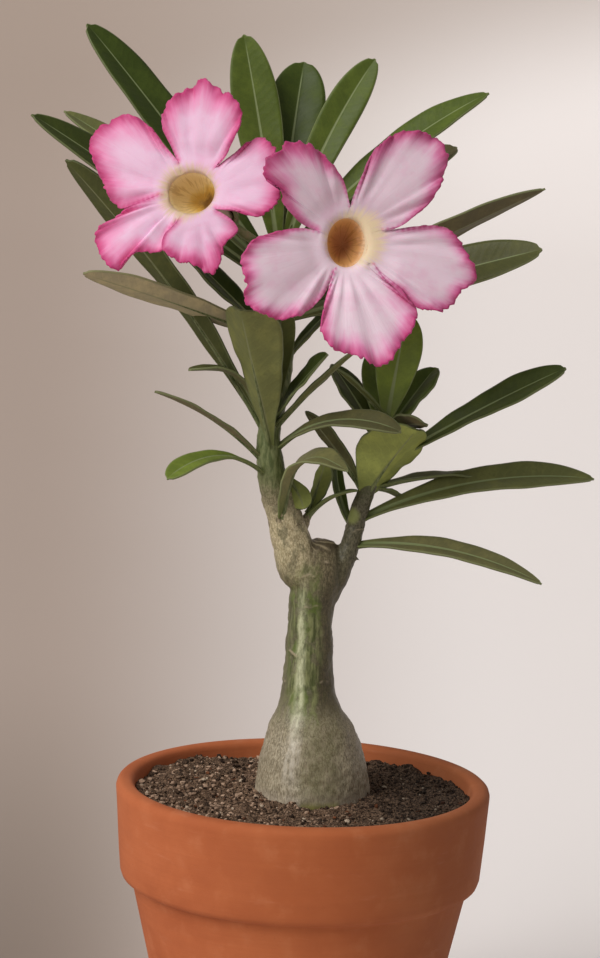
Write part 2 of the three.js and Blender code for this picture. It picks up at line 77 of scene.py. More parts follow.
# A soft change from 0 at low to 1 at high. It falls instead where low is the greater.
def smooth(low, high, value):
    share = min(max((value - low) / (high - low), 0), 1)
    return share * share * (3 - 2 * share)


# A place on the smooth curve through the points, share running from 0 at the first to 1 at the last.
def alongSpline(points, share):
    last = len(points) - 1
    place = min(max(share, 0), 1) * last
    i = min(int(place), last - 1)
    w = place - i
    here, there = points[i], points[i + 1]
    before = points[i - 1] if i > 0 else 2 * here - there
    after = points[i + 2] if i + 2 <= last else 2 * there - here
    leave, arrive = (there - before) / 2, (after - here) / 2
    w2, w3 = w * w, w * w * w
    return (
        here * (2 * w3 - 3 * w2 + 1)
        + leave * (w3 - 2 * w2 + w)
        + there * (3 * w2 - 2 * w3)
        + arrive * (w3 - w2)
    )


# Evenly spaced places on such a curve, and its length.
def evenPoints(points, count, samples=400):
    dense = [alongSpline(points, i / samples) for i in range(samples + 1)]
    reach = [0.0]
    for one, other in zip(dense, dense[1:]):
        reach.append(reach[-1] + (other - one).length)
    even = []
    i = 0
    for k in range(count + 1):
        wanted = reach[-1] * k / count
        while i < samples - 1 and reach[i + 1] < wanted:
            i += 1
        share = (wanted - reach[i]) / max(reach[i + 1] - reach[i], 1e-9)
        even.append(dense[i].lerp(dense[i + 1], min(max(share, 0), 1)))
    return even, reach[-1]


# A sheet whose vertices go where place(vert, u, v) says, u and v running from 0 to 1.
def gridSheet(bm, columns, rows, place):
    made = bmesh.ops.create_grid(bm, x_segments=columns, y_segments=rows, size=1, calc_uvs=True)
    for vert in made["verts"]:
        vert.co = place(vert, (vert.co.x + 1) / 2, (vert.co.y + 1) / 2)
    return made["verts"]


# A limb's stations are (x, y, z, radius). This gives its centre, radius and two directions across it.
def limbAt(stations, share, reference):
    step = 0.002
    here = alongSpline(stations, share)
    ahead = alongSpline(stations, min(share + step, 1))
    behind = alongSpline(stations, max(share - step, 0))
    heading = (ahead.xyz - behind.xyz).normalized()
    first = reference.cross(heading).normalized()
    return here.xyz, here.w, first, first.cross(heading)


# A closed tube along a limb, with relief(point, turn) on its surface.
def limbTube(bm, stations, sides, rings, reference=Vector((0, 1, 0)), relief=None):
    ring = {}

    def place(vert, around, along):
        key = round(along * rings)
        if key not in ring:
            ring[key] = limbAt(stations, along, reference)
        centre, radius, first, second = ring[key]
        turn = 2 * math.pi * around
        out = first * math.cos(turn) + second * math.sin(turn)
        if relief:
            radius += relief(centre + out * radius, turn)
        return (centre + out * radius) * mm

    verts = gridSheet(bm, sides, rings, place)
    bmesh.ops.remove_doubles(bm, verts=verts, dist=1e-6)
    kept = [v for v in verts if v.is_valid]
    edges = {e for v in kept for e in v.link_edges if e.is_boundary}
    bmesh.ops.holes_fill(bm, edges=list(edges), sides=0)
    faces = list({f for v in kept for f in v.link_faces})
    bmesh.ops.recalc_face_normals(bm, faces=faces)


def stationsOf(rows):
    return [Vector(row) for row in rows]


def spinRound(bm, parts, steps):
    bmesh.ops.spin(bm, geom=parts, cent=(0, 0, 0), axis=(0, 0, 1), dvec=(0, 0, 0),
                   angle=2 * math.pi, steps=steps, use_merge=True, use_duplicate=False)


def sealUp(bm, gap):
    bmesh.ops.remove_doubles(bm, verts=bm.verts, dist=gap)
    bmesh.ops.recalc_face_normals(bm, faces=bm.faces)


def attributeLayer(bm, name):
    return bm.verts.layers.float.get(name) or bm.verts.layers.float.new(name)


def newMesh(name, bm):
    mesh = bpy.data.meshes.new(name)
    bm.to_mesh(mesh)
    bm.free()
    mesh.polygons.foreach_set("use_smooth", [True] * len(mesh.polygons))
    mesh.update()
    return mesh


def addPiece(name, mesh, finishes, slotName, *nodes):
    piece = bpy.data.objects.new(name, mesh)
    bpy.context.scene.collection.objects.link(piece)
    for finish in finishes:
        mesh.materials.append(finish)
    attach(piece, "root")
    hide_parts(*nodes)
    return piece


def solidify(piece, thickness, backMaterial=0):
    wall = piece.modifiers.new("thickness", "SOLIDIFY")
    wall.thickness = thickness * mm
    wall.offset = 0
    wall.use_even_offset = False
    wall.use_rim = True
    wall.material_offset = backMaterial


def plug(socket, value):
    if isinstance(value, Wire):
        value.tree.links.new(value.socket, socket)
    else:
        socket.default_value = (*value, 1) if socket.type == "RGBA" else value


def newNode(tree, kind, inputs, **settings):
    node = tree.nodes.new("ShaderNode" + kind)
    for name, value in settings.items():
        setattr(node, name, value)
    for name, value in inputs.items():
        plug(node.inputs[name], value)
    return node


# One value in a material's node tree. Sums on wires make the nodes that work them out.
class Wire:
    def __init__(self, socket):
        self.socket = socket
        self.tree = socket.id_data

    def reckon(self, operation, *others):
        values = dict(enumerate((self, *others)))
        return Wire(newNode(self.tree, "Math", values, operation=operation).outputs[0])

    def __add__(self, other):
        return self.reckon("ADD", other)

    def __sub__(self, other):
        return self.reckon("SUBTRACT", other)

    def __mul__(self, other):
        return self.reckon("MULTIPLY", other)

    def __truediv__(self, other):
        return self.reckon("DIVIDE", other)

    # toLow where this is under low, toHigh where it is over high, with a soft change between.
    def ramp(self, low, high, toLow=0.0, toHigh=1.0):
        values = {"Value": self, "From Min": low, "From Max": high, "To Min": toLow, "To Max": toHigh}
        node = newNode(self.tree, "MapRange", values, interpolation_type="SMOOTHSTEP")
        return Wire(node.outputs["Result"])

    # The first colour where this is 0, the second where it is 1.
    def mix(self, first, second):
        node = newNode(self.tree, "Mix", {0: self, 6: first, 7: second}, data_type="RGBA")
        return Wire(node.outputs[2])

    # This colour with its red, green and blue each multiplied.
    def scaled(self, factors):
        values = {0: 1.0, 6: self, 7: factors}
        node = newNode(self.tree, "Mix", values, data_type="RGBA", blend_type="MULTIPLY")
        return Wire(node.outputs[2])

    # The rest take this as a place.
    def noise(self, scale, detail, roughness, distortion=0.0):
        values = {"Vector": self, "Scale": scale, "Detail": detail, "Roughness": roughness,
                  "Distortion": distortion}
        return Wire(newNode(self.tree, "TexNoise", values).outputs["Fac"])

    def cellEdges(self):
        node = newNode(self.tree, "TexVoronoi", {"Vector": self, "Scale": 1.0}, feature="DISTANCE_TO_EDGE")
        return Wire(node.outputs["Distance"])

    def distanceTo(self, point):
        node = newNode(self.tree, "VectorMath", {0: self, 1: point}, operation="DISTANCE")
        return Wire(node.outputs["Value"])

    def split(self):
        return [Wire(socket) for socket in newNode(self.tree, "SeparateXYZ", {0: self}).outputs]


def joined(x, y, z):
    return Wire(newNode(x.tree, "CombineXYZ", {0: x, 1: y, 2: z}).outputs[0])


# The place on the object in millimetres, stretched for patterns that are long or flat.
def objectPlace(tree, stretch=(1, 1, 1)):
    place = Wire(newNode(tree, "TexCoord", {}).outputs["Object"])
    node = newNode(tree, "Mapping", {"Vector": place, "Scale": [s / mm for s in stretch]})
    return Wire(node.outputs["Vector"])


def attributeOf(tree, name):
    return Wire(newNode(tree, "Attribute", {}, attribute_name=name).outputs["Fac"])


def newMaterial(name):
    material = bpy.data.materials.new(name)
    material.use_nodes = True
    tree = material.node_tree
    tree.nodes.clear()
    output = newNode(tree, "OutputMaterial", {})
    shader = newNode(tree, "BsdfPrincipled", {})
    tree.links.new(shader.outputs["BSDF"], output.inputs["Surface"])
    return material, tree, shader


def dress(shader, colour, roughness, shine=0.5, others=()):
    values = {"Base Color": colour, "Roughness": roughness, "Specular IOR Level": shine}
    values.update(others)
    for name, value in values.items():
        plug(shader.inputs[name], value)


def bumpOf(shader, height, strength, distance):
    values = {"Height": height, "Strength": strength, "Distance": distance * mm}
    plug(shader.inputs["Normal"], Wire(newNode(height.tree, "Bump", values).outputs["Normal"]))


pot = {
    "height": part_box("pot")[1].z / mm,
    "rimRadius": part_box("pot")[1].x / mm,
    "rimWall": 6.0,
    "bandHeight": 33,
    "bandFootRadius": 60.2,
    "bodyTopRadius": 56.2,
    "footRadius": 39,
    "bodyWall": 5,
    "floor": 8,
    "drainRadius": 6,
    "turns": 160,
    "longestEdge": 14,
    "wobble": [(28, 0.35), (90, 0.1)],  # how close the waves are, and how high
}


def terracottaFinish():
    material, tree, shader = newMaterial("terracotta")
    place = objectPlace(tree)
    across, back, height = place.split()
    cloud = place.noise(0.028, 4, 0.6)
    blotch = place.noise(0.11, 4, 0.6)
    grain = place.noise(1.6, 3, 0.6)
    speck = place.noise(0.9, 2, 0.7)
    # Faint turning lines round the pot, and pale rubbed streaks across the band.
    lines = joined(across * 0.012, back * 0.012, height * 0.55).noise(1.0, 3, 0.65)
    rub = joined(across * 0.06, back * 0.06, height * 0.3).noise(1.0, 4, 0.6)
    colour = cloud.ramp(0.35, 0.65).mix((0.42, 0.112, 0.036), (0.50, 0.145, 0.050))
    colour = blotch.ramp(0.5, 0.75, 0, 0.45).mix(colour, (0.53, 0.185, 0.08))
    colour = lines.ramp(0.35, 0.7, 0, 0.16).mix(colour, (0.36, 0.095, 0.032))
    colour = rub.ramp(0.6, 0.8, 0, 0.28).mix(colour, (0.58, 0.24, 0.13))
    colour = speck.ramp(0.66, 0.8, 0, 0.5).mix(colour, (0.30, 0.085, 0.035))
    # A little painted light on the left and painted shade on the right.
    paintedLightSide = across + (cloud - 0.5) * 30
    colour = paintedLightSide.ramp(-44, 4, 1, 0).mix(colour, colour.scaled((1.05, 1.03, 1.08)))
    colour = paintedLightSide.ramp(4, 52).mix(colour, colour.scaled((0.75, 0.83, 0.90)))
    dress(shader, colour, blotch.ramp(0.3, 0.7, 0.78, 0.9), 0.3)
    bumpOf(shader, grain * 0.6 + lines * 0.9, 0.35, 0.25)
    return material


def potProfile():
    top, rim, band, body, foot, drain, floor = (pot[name] for name in (
        "height", "rimRadius", "bandFootRadius", "bodyTopRadius", "footRadius", "drainRadius", "floor"))
    mouth = rim - pot["rimWall"]
    bandFoot = top - pot["bandHeight"]
    return [
        (drain, 0), (foot - 1.4, 0), (foot, 1.4), (body, bandFoot - 1.6), (body + 0.5, bandFoot - 0.4),
        (band - 2.0, bandFoot), (band - 0.6, bandFoot + 0.8), (band, bandFoot + 2.6),
        (rim - 0.1, top - 3.6), (rim, top - 2.4), (rim - 0.35, top - 1.1), (rim - 1.2, top - 0.3),
        (rim - 2.3, top), (mouth + 2.0, top), (mouth + 1.0, top - 0.3), (mouth + 0.25, top - 1.0),
        (mouth, top - 2.2), (body - pot["bodyWall"], bandFoot - 2), (foot - 2.6, floor), (drain, floor),
    ]


def makePot():
    bm = bmesh.new()
    corners = [bm.verts.new((radius * mm, 0, z * mm)) for radius, z in potProfile()]
    for pair in zip(corners, corners[1:] + corners[:1]):
        bm.edges.new(pair)
    for _ in range(2):
        longOnes = [e for e in bm.edges if e.calc_length() > pot["longestEdge"] * mm]
        bmesh.ops.subdivide_edges(bm, edges=longOnes, cuts=3)
    spinRound(bm, bm.verts[:] + bm.edges[:], pot["turns"])
    sealUp(bm, 1e-6)
    for vert in bm.verts:
        out = Vector((vert.co.x, vert.co.y, 0)).normalized()
        wobble = sum(noise.noise(vert.co * pace) * size for pace, size in pot["wobble"])
        if pot["floor"] * mm < vert.co.z < (pot["height"] - 1) * mm:
            vert.co += out * wobble * mm
    addPiece("clay_pot", newMesh("clay_pot", bm), [terracottaFinish()], "terracotta", "pot")


makePot()
print("pot made")


soil = {
    "level": 107.6,
    "radius": 56.0,
    "unevenness": 1.1,
    "coarse": 1.0,
    "fine": 0.8,
    "heapCentre": 3,
    "heapRadius": 20,
    "heapWidth": 7,
    "rings": 90,
    "spokes": 240,
    "skirtFoot": 96,
    "skirtShare": 0.97,
    "crumbs": 7200,
    "batches": 60,
    "smallest": 0.26,
    "largest": 0.98,
    "seed": 7,
}


def soilLevel(x, y):
    swell = math.sin(0.17 * x + 1.1) * math.sin(0.15 * y + 0.4)
    lumps = math.sin(0.43 * x - 0.2 * y) * math.sin(0.38 * y + 0.25 * x + 2)
    return soil["level"] + soil["unevenness"] * (0.6 * swell + 0.5 * lumps)


# Heaped a little round the trunk and against the pot on the left.
def soilHeight(x, y):
    place = Vector((x, y, 0))
    coarse = noise.fractal(place * 0.11, 1.0, 2.0, 3)
    fine = noise.fractal(place * 0.55 + Vector((9, 3, 5)), 0.8, 2.0, 4)
    away = math.hypot(x - soil["heapCentre"], y) - soil["heapRadius"]
    heap = (0.9 + 0.5 * smooth(-6, 12, y)) * math.exp(-(away / soil["heapWidth"]) ** 2)
    leftBank = smooth(-20, -52, x)
    return soilLevel(x, y) + soil["coarse"] * coarse + soil["fine"] * fine + heap + leftBank - 0.3


def soilFinish(name, crumbly):
    material, tree, shader = newMaterial(name)
    place = objectPlace(tree)
    patch = place.noise(0.35, 3, 0.6)
    grain = place.noise(1.9, 4, 0.7)
    across = place.split()[0]
    colour = grain.ramp(0.40, 0.64).mix((0.018, 0.010, 0.006), (0.23, 0.145, 0.092))
    colour = patch.ramp(0.45, 0.7, 0, 0.5).mix(colour, (0.055, 0.027, 0.014))
    if crumbly:
        # Dark and light crumbs, the light ones thinning out towards the right as painted light on the left,
        # with a few chalky ones and a few chips of bark.
        tone = attributeOf(tree, "tone")
        light = tone.ramp(0.55, 1.0) * across.ramp(-16, 34, 1, 0.12)
        colour = tone.ramp(0.20, 0.45, 0.88, 0).mix(colour, (0.020, 0.011, 0.007))
        colour = light.mix(colour, (0.40, 0.275, 0.195))
        colour = tone.ramp(0.965, 0.985).mix(colour, (0.40, 0.32, 0.24))
        colour = tone.ramp(0.0, 0.05, 0.8, 0).mix(colour, (0.16, 0.055, 0.022))
    # Painted light on the left and painted shade on the right.
    shade = (across + patch * 16).ramp(12, 50, 1.35, 0.55)
    colour = colour.scaled(joined(shade, shade, shade))
    dress(shader, colour, 0.92, 0.25)
    bumpOf(shader, grain, 0.6, 0.5)
    return material


def makeSoilBed():
    bm = bmesh.new()

    def place(vert, around, along):
        reach = soil["radius"] * along
        turn = 2 * math.pi * around
        x, y = reach * math.cos(turn), reach * math.sin(turn)
        return Vector((x, y, soilHeight(x, y))) * mm

    gridSheet(bm, soil["spokes"], soil["rings"], place)
    bmesh.ops.remove_doubles(bm, verts=bm.verts, dist=1e-6)
    rim = [e for e in bm.edges if e.is_boundary]
    skirt = bmesh.ops.extrude_edge_only(bm, edges=rim)
    for vert in [v for v in skirt["geom"] if isinstance(v, bmesh.types.BMVert)]:
        vert.co.z = soil["skirtFoot"] * mm
        vert.co.x *= soil["skirtShare"]
        vert.co.y *= soil["skirtShare"]
    bmesh.ops.holes_fill(bm, edges=[e for e in bm.edges if e.is_boundary], sides=0)
    bmesh.ops.recalc_face_normals(bm, faces=bm.faces)
    addPiece("soil_bed", newMesh("soil_bed", bm), [soilFinish("soilBed", False)], "potting_soil", "soil")


def addCrumb(bm, tone, chance):
    reach = (soil["radius"] - 1.2) * math.sqrt(chance.random())
    turn = chance.uniform(0, 2 * math.pi)
    x, y = reach * math.cos(turn), reach * math.sin(turn)
    size = soil["smallest"] + (soil["largest"] - soil["smallest"]) * chance.random() ** 3
    spin = Matrix.Rotation(chance.uniform(0, 6.3), 4, "Z")
    spin = spin @ Matrix.Rotation(chance.uniform(-0.6, 0.6), 4, "X")
    shape = Matrix.Diagonal(
        (chance.uniform(0.7, 1.35), chance.uniform(0.7, 1.2), chance.uniform(0.55, 0.95), 1))
    middle = Vector((x, y, soilHeight(x, y) + size * chance.uniform(-0.1, 0.5))) * mm
    seat = Matrix.Translation(middle)
    made = bmesh.ops.create_icosphere(bm, subdivisions=1, radius=size * mm, matrix=seat @ spin @ shape)
    shade = chance.random()
    for vert in made["verts"]:
        vert.co = middle + (vert.co - middle) * chance.uniform(0.58, 1.3)
        vert[tone] = shade


def makeCrumbs():
    chance = random.Random(soil["seed"])
    whole = bmesh.new()
    for _ in range(soil["batches"]):
        batch = bmesh.new()  # small batches are much quicker to build than one growing mesh
        tone = attributeLayer(batch, "tone")
        for _ in range(soil["crumbs"] // soil["batches"]):
            addCrumb(batch, tone, chance)
        part = bpy.data.meshes.new("crumb_batch")
        batch.to_mesh(part)
        batch.free()
        whole.from_mesh(part)
        bpy.data.meshes.remove(part)
    mesh = newMesh("soil_crumbs", whole)
    mesh.polygons.foreach_set("use_smooth", [False] * len(mesh.polygons))
    addPiece("soil_crumbs", mesh, [soilFinish("soilCrumbs", True)], "potting_soil", "soil")


makeSoilBed()
makeCrumbs()
print("soil made")


# The trunk is swollen at its foot, with a cut stump between two bare branches.
trunk = {
    "stem": stationsOf([
        (3, 0, 90, 12), (3, 0, 99, 17), (3, 0, 105, 19), (3, 0, 110, 19.2), (2.6, 0, 118, 18),
        (1.8, 0, 127, 15.6), (1.1, 0, 132.5, 13.4), (0.7, 0, 138, 10.4), (0.4, 0, 146, 8.6),
        (0.4, 0, 156, 7.8), (0.5, 0, 166, 7.5), (0.9, 0, 174, 7.7), (1.6, 0, 181, 8.3),
        (2.8, 0.8, 188, 7.2), (4, 1.3, 192.4, 4.9), (4.2, 1.4, 194.2, 2.8),
    ]),
    "leftBranch": stationsOf([
        (0, -0.6, 177, 5), (-3.4, -1.2, 184, 6.9), (-5.8, -1.5, 190, 6.8), (-7.8, -1.6, 197.6, 6.2),
        (-10.4, -1.8, 205, 5.5), (-12.4, -2.4, 210, 5.1),
    ]),
    "rightBranch": stationsOf([
        (4, 0, 172, 4), (8, 0.6, 180, 4), (11, 1.4, 187, 3.6), (13.2, 2.2, 194, 3.2), (14.4, 2.5, 199, 3.1),
    ]),
    "spur": stationsOf([(12.4, 1.2, 187.8, 1.3), (14.6, 0.4, 188.1, 0.9), (16.4, 0, 187.7, 0.55)]),
    "voxel": 0.62,
    "smoothings": 3,
    # Old leaf scars: height, bearing seen from above with the front at -90, half length, and lift.
    "scars": [
        (156.6, -141, 3.4, 0.36), (147.6, -56, 3.6, 0.2), (163, -66, 3, 0.12), (173, -88, 5.5, 0.2),
        (183.4, -110, 4.5, 0.3), (187.5, -50, 4, 0.2), (142, -108, 3, 0.12),
        (150, 60, 5, 0.25), (161, 110, 5, 0.25), (172, 80, 6, 0.25), (147, -170, 5, 0.25),
        (167, 170, 5, 0.25),
    ],
}


def barkFinish():
    material, tree, shader = newMaterial("bark")
    place = objectPlace(tree)
    across, back, height = place.split()
    patch = objectPlace(tree, (0.30, 0.30, 0.16)).noise(1.0, 4, 0.6)
    streak = objectPlace(tree, (0.62, 0.62, 0.09)).noise(1.0, 5, 0.65)
    fleck = objectPlace(tree, (1.7, 1.7, 0.8)).noise(1.0, 5, 0.75)
    strokes = objectPlace(tree, (2.1, 2.1, 0.5)).noise(1.0, 5, 0.75)
    island = objectPlace(tree, (0.22, 0.22, 0.11)).noise(1.0, 3, 0.6, 0.4)
    # Green above the swollen foot, in dark and pale upright streaks, with painted shade in brown on the
    # right.
    green = streak.ramp(0.38, 0.62).mix((0.062, 0.076, 0.019), (0.225, 0.24, 0.10))
    green = island.ramp(0.52, 0.60, 0, 0.7).mix(green, (0.105, 0.150, 0.024))
    green = patch.ramp(0.52, 0.64, 0, 0.7).mix(green, (0.165, 0.150, 0.088))
    green = fleck.ramp(0.58, 0.70, 0, 0.55).mix(green, (0.24, 0.225, 0.145))
    paintedShadeBrown = fleck.ramp(0.36, 0.66).mix((0.045, 0.034, 0.016), (0.135, 0.105, 0.058))
    wander = across + patch * 5
    green = wander.ramp(4.6, 8.2, 0, 0.85).mix(green, paintedShadeBrown)
    green = wander.ramp(-4.8, -2.6, 0.6, 0).mix(green, (0.135, 0.112, 0.070))
    # Grey with a pink cast on the foot, with painted shade in brown on its right; tan on the left branch,
    # lightened with painted light; brown stump; dark right branch, its own bark deepened with painted shade.
    grey = strokes.ramp(0.36, 0.64).mix((0.165, 0.132, 0.078), (0.52, 0.45, 0.325))
    grey = across.ramp(9, 20, 0, 0.2).mix(grey, paintedShadeBrown)
    tanWithPaintedLight = fleck.ramp(0.36, 0.64).mix((0.28, 0.23, 0.12), (0.68, 0.59, 0.375))
    tanWithPaintedLight = patch.ramp(0.50, 0.62, 0, 0.6).mix(tanWithPaintedLight, (0.165, 0.155, 0.080))
    stub = fleck.ramp(0.36, 0.66).mix((0.085, 0.066, 0.033), (0.27, 0.225, 0.130))
    darkWithPaintedShade = fleck.ramp(0.36, 0.66).mix((0.048, 0.043, 0.020), (0.175, 0.160, 0.100))
    bough = across.ramp(-2.2, 1.2).mix(tanWithPaintedLight, stub)
    bough = across.ramp(6.5, 9.5).mix(bough, darkWithPaintedShade)
    foot = (height + streak * 16).ramp(134, 152, 1, 0)
    crown = (height + patch * 26).ramp(188, 204)
    colour = crown.mix(foot.mix(green, grey), bough)
    young = (height + patch * 10).ramp(204, 213, 0, 0.7) * across.ramp(-2, 0, 1, 0)
    colour = young.mix(colour, fleck.mix((0.115, 0.105, 0.052), (0.30, 0.27, 0.165)))
    # Moss up the middle of the foot, a pale skirt where it meets the soil.
    middle = (across - 5.5).reckon("ABSOLUTE").ramp(4, 10, 1, 0.12)
    mossy = (patch * 0.45 + strokes * 0.55).ramp(0.40, 0.54, 0.1, 0.66) * (middle * foot)
    colour = mossy.mix(colour, (0.150, 0.140, 0.056))
    skirt = height.ramp(107, 114, 0.7, 0) * patch.ramp(0.38, 0.58, 0.35, 1)
    colour = skirt.mix(colour, (0.42, 0.355, 0.29))
    lowMoss = height.ramp(107.6, 110.6, 0.85, 0) * middle.ramp(0.5, 0.9)
    colour = lowMoss.mix(colour, (0.20, 0.19, 0.045))
    # A painted highlight runs up the front as a pale streak, left of the middle.
    centre = height.ramp(122, 142, -4.4, -2.3)
    width = height.ramp(118, 142, 4.2, 2.3)
    beside = (across - centre).reckon("ABSOLUTE") / width
    paintedHighlight = beside.ramp(0.15, 1.0, 0.85, 0) * back.ramp(-5, -1, 1, 0) * height.ramp(168, 186, 1, 0)
    paintedHighlight = paintedHighlight * streak.ramp(0.36, 0.60, 0.35, 1) * patch.ramp(0.40, 0.56, 1, 0.55)
    paintedHighlight = paintedHighlight * height.ramp(112, 120, 0.15, 1)
    colour = paintedHighlight.mix(colour, foot.mix((0.66, 0.68, 0.44), (0.62, 0.57, 0.47)))
    # Rings on the cut top of the stump.
    rings = (joined(across, back, 0.0).distanceTo((4.2, 1.4, 0)) * 3.7).reckon("SINE")
    top = height.ramp(190.4, 192.2) * across.ramp(-1.0, 0.2) * across.ramp(8.4, 9.4, 1, 0)
    colour = (top * rings.ramp(-0.2, 0.9, 0.75, 0)).mix(colour, (0.060, 0.042, 0.022))
    colour = (top * rings.ramp(0.55, 1.0, 0, 0.7)).mix(colour, (0.33, 0.27, 0.17))
    # A net of fine cracks, and the old leaf scars.
    net = objectPlace(tree, (1.3, 1.3, 0.6)).cellEdges()
    netLine = net.ramp(0.02, 0.14, 0.35, 0) * patch.ramp(0.42, 0.6)
    colour = netLine.mix(colour, (0.055, 0.046, 0.024))
    scar = attributeOf(tree, "scar")
    colour = scar.ramp(0.12, 0.7, 0, 0.8).mix(colour, (0.40, 0.33, 0.22))
    colour = scar.ramp(-0.7, -0.12, 0.7, 0).mix(colour, (0.07, 0.050, 0.026))
    coat = {"Coat Weight": 0.11, "Coat Roughness": 0.30}
    dress(shader, colour, fleck.ramp(0.3, 0.7, 0.42, 0.60), 0.3, coat)
    bumpOf(shader, fleck * 0.5 + strokes * 0.45 + net.ramp(0.0, 0.2, 0, 0.15), 0.45, 0.35)
    return material


# The overlapping limbs become one skin.
def voxelUnion(bm, size):
    source = bpy.data.objects.new("union", newMesh("union", bm))
    bpy.context.scene.collection.objects.link(source)
    remesh = source.modifiers.new("union", "REMESH")
    remesh.mode = "VOXEL"
    remesh.voxel_size = size * mm
    remesh.use_smooth_shade = True
    graph = bpy.context.evaluated_depsgraph_get()
    mesh = bpy.data.meshes.new_from_object(source.evaluated_get(graph))
    whole = bmesh.new()
    whole.from_mesh(mesh)
    bpy.data.objects.remove(source)
    return whole


# Above 0 on a scar's ridge, below 0 in its groove.
def scarAt(point):
    value = 0
    x, y = point.x - 1, point.y
    for z, bearing, halfLength, lift in trunk["scars"]:
        away = (math.atan2(y, x) - math.radians(bearing) + math.pi) % (2 * math.pi) - math.pi
        sideways = away * math.hypot(x, y)
        wander = 0.9 * noise.noise(Vector((sideways * 0.35, z, 3)))
        across = point.z - z + 0.02 * sideways * sideways + wander
        broken = 0.35 + 1.3 * max(0, noise.noise(Vector((sideways * 0.6, z * 2, 8))) + 0.3)
        fade = max(0, 1 - (sideways / halfLength) ** 2) * broken
        ridge = math.exp(-((across / 0.55) ** 2))
        groove = 0.7 * math.exp(-(((across + 1.1) / 0.5) ** 2))
        value += (ridge - groove) * fade * lift / 0.4
    return value


# Low broken rings round the bare branches.
def branchRings(point):
    left = smooth(186, 192, point.z) * (1 if point.x < -1 else 0)
    right = smooth(178, 184, point.z) * (1 if point.x > 7 else 0)
    wander = 2.2 * noise.noise(point * 0.2)
    broken = max(0, 0.35 + 1.2 * noise.noise(point * 0.28 + Vector((4, 7, 1))))
    ring = max(0, math.sin((point.z + wander - 0.3 * point.x) * 2 * math.pi / 5.3)) ** 6
    return 0.22 * broken * max(left, right) * ring


def makeTrunk():
    bm = bmesh.new()
    limbs = (("stem", 72, 150), ("leftBranch", 48, 50), ("rightBranch", 36, 50), ("spur", 16, 12))
    for limb, sides, rings in limbs:
        limbTube(bm, trunk[limb], sides, rings)
    whole = voxelUnion(bm, trunk["voxel"])
    for _ in range(trunk["smoothings"]):
        bmesh.ops.smooth_vert(whole, verts=whole.verts, factor=0.5,
                              use_axis_x=True, use_axis_y=True, use_axis_z=True)
    scarLayer = attributeLayer(whole, "scar")
    whole.normal_update()
    moves = []
    for vert in whole.verts:
        point = vert.co / mm
        foot = smooth(140, 128, point.z)
        lumps = 0.55 * noise.noise(point * 0.16) + 0.22 * noise.noise(point * 0.5)
        grainPlace = Vector((point.x * 0.8, point.y * 0.8, point.z * 0.32))
        cracks = noise.ridged_multi_fractal(grainPlace, 0.9, 2.1, 3, 1.0, 2.0)
        scar = scarAt(point)
        rings = branchRings(point)
        lift = lumps + 0.06 * (cracks - 1.2) * (0.6 + 0.8 * foot) + 0.35 * scar + rings
        vert[scarLayer] = max(-1, min(1, scar + rings * 2.2))
        moves.append(vert.normal * lift * mm)
    for vert, move in zip(whole.verts, moves):
        vert.co += move
    addPiece("bark_trunk", newMesh("bark_trunk", whole), [barkFinish()], "bark", "trunk")


makeTrunk()
print("trunk made")


leafForm = {
    "thickness": 0.7,
    "columns": 14,
    "rows": 44,
    "waves": 2.4,
    "waveHeight": 0.03,
    "smallWaves": 6.1,
    "smallShare": 0.35,
    "stalkWidth": 2.4,
    "tipFrom": 0.985,
    "tipShare": 0.55,
    "ribFoot": 1.05,
    "ribTip": 0.22,
    "ribLine": 0.55,
    "veinSpacing": 3.1,
}

leftStem = stationsOf([
    (-8.2, -1.6, 198.6, 6), (-10.4, -1.8, 205, 5.4), (-13.2, -2.8, 213, 4.9), (-14.9, -3.6, 222, 4.3),
    (-15.2, -3.4, 231, 3.7), (-13, -1, 240, 3.3), (-11.4, 2, 250, 3.1), (-11.2, 5, 262, 3),
    (-12.4, 8, 275, 3), (-14, 10, 286, 2.8), (-14.6, 10.4, 291, 1.8),
])

rightStem = stationsOf([
    (11.2, 1.4, 187.4, 3.4), (13.2, 2.2, 194, 3.1), (15.2, 2.8, 203, 3), (18, 2.6, 212, 2.8),
    (21, 2.4, 222, 2.6), (23, 2.6, 231, 2.4), (23.6, 3, 235, 1.4),
])

sideStem = stationsOf([
    (-4.6, 0.6, 195.6, 2.2), (-3.2, 1, 198.6, 2.1), (-2.2, 1.4, 200.8, 1.5), (-1.2, 2, 203.2, 0.9),
])


# A leaf leaves its stem at height z, towards its bearing seen from above, and rises by a number of
# degrees that droop takes away again along it. roll turns it about its midrib, and point is how sharp
# its tip is. bend says between which shares of the length it droops, neck how slender its foot is.
def leaf(z, bearing, rise, droop, length, width, roll, point, **others):
    usual = {"tone": 0.4, "olive": 0.0, "widest": 0.68, "bend": (0, 1), "neck": 1.25, "trough": 0.30,
             "root": None}
    return {"z": z, "bearing": bearing, "rise": rise, "droop": droop, "length": length, "width": width,
            "roll": roll, "point": point, **usual, **others}


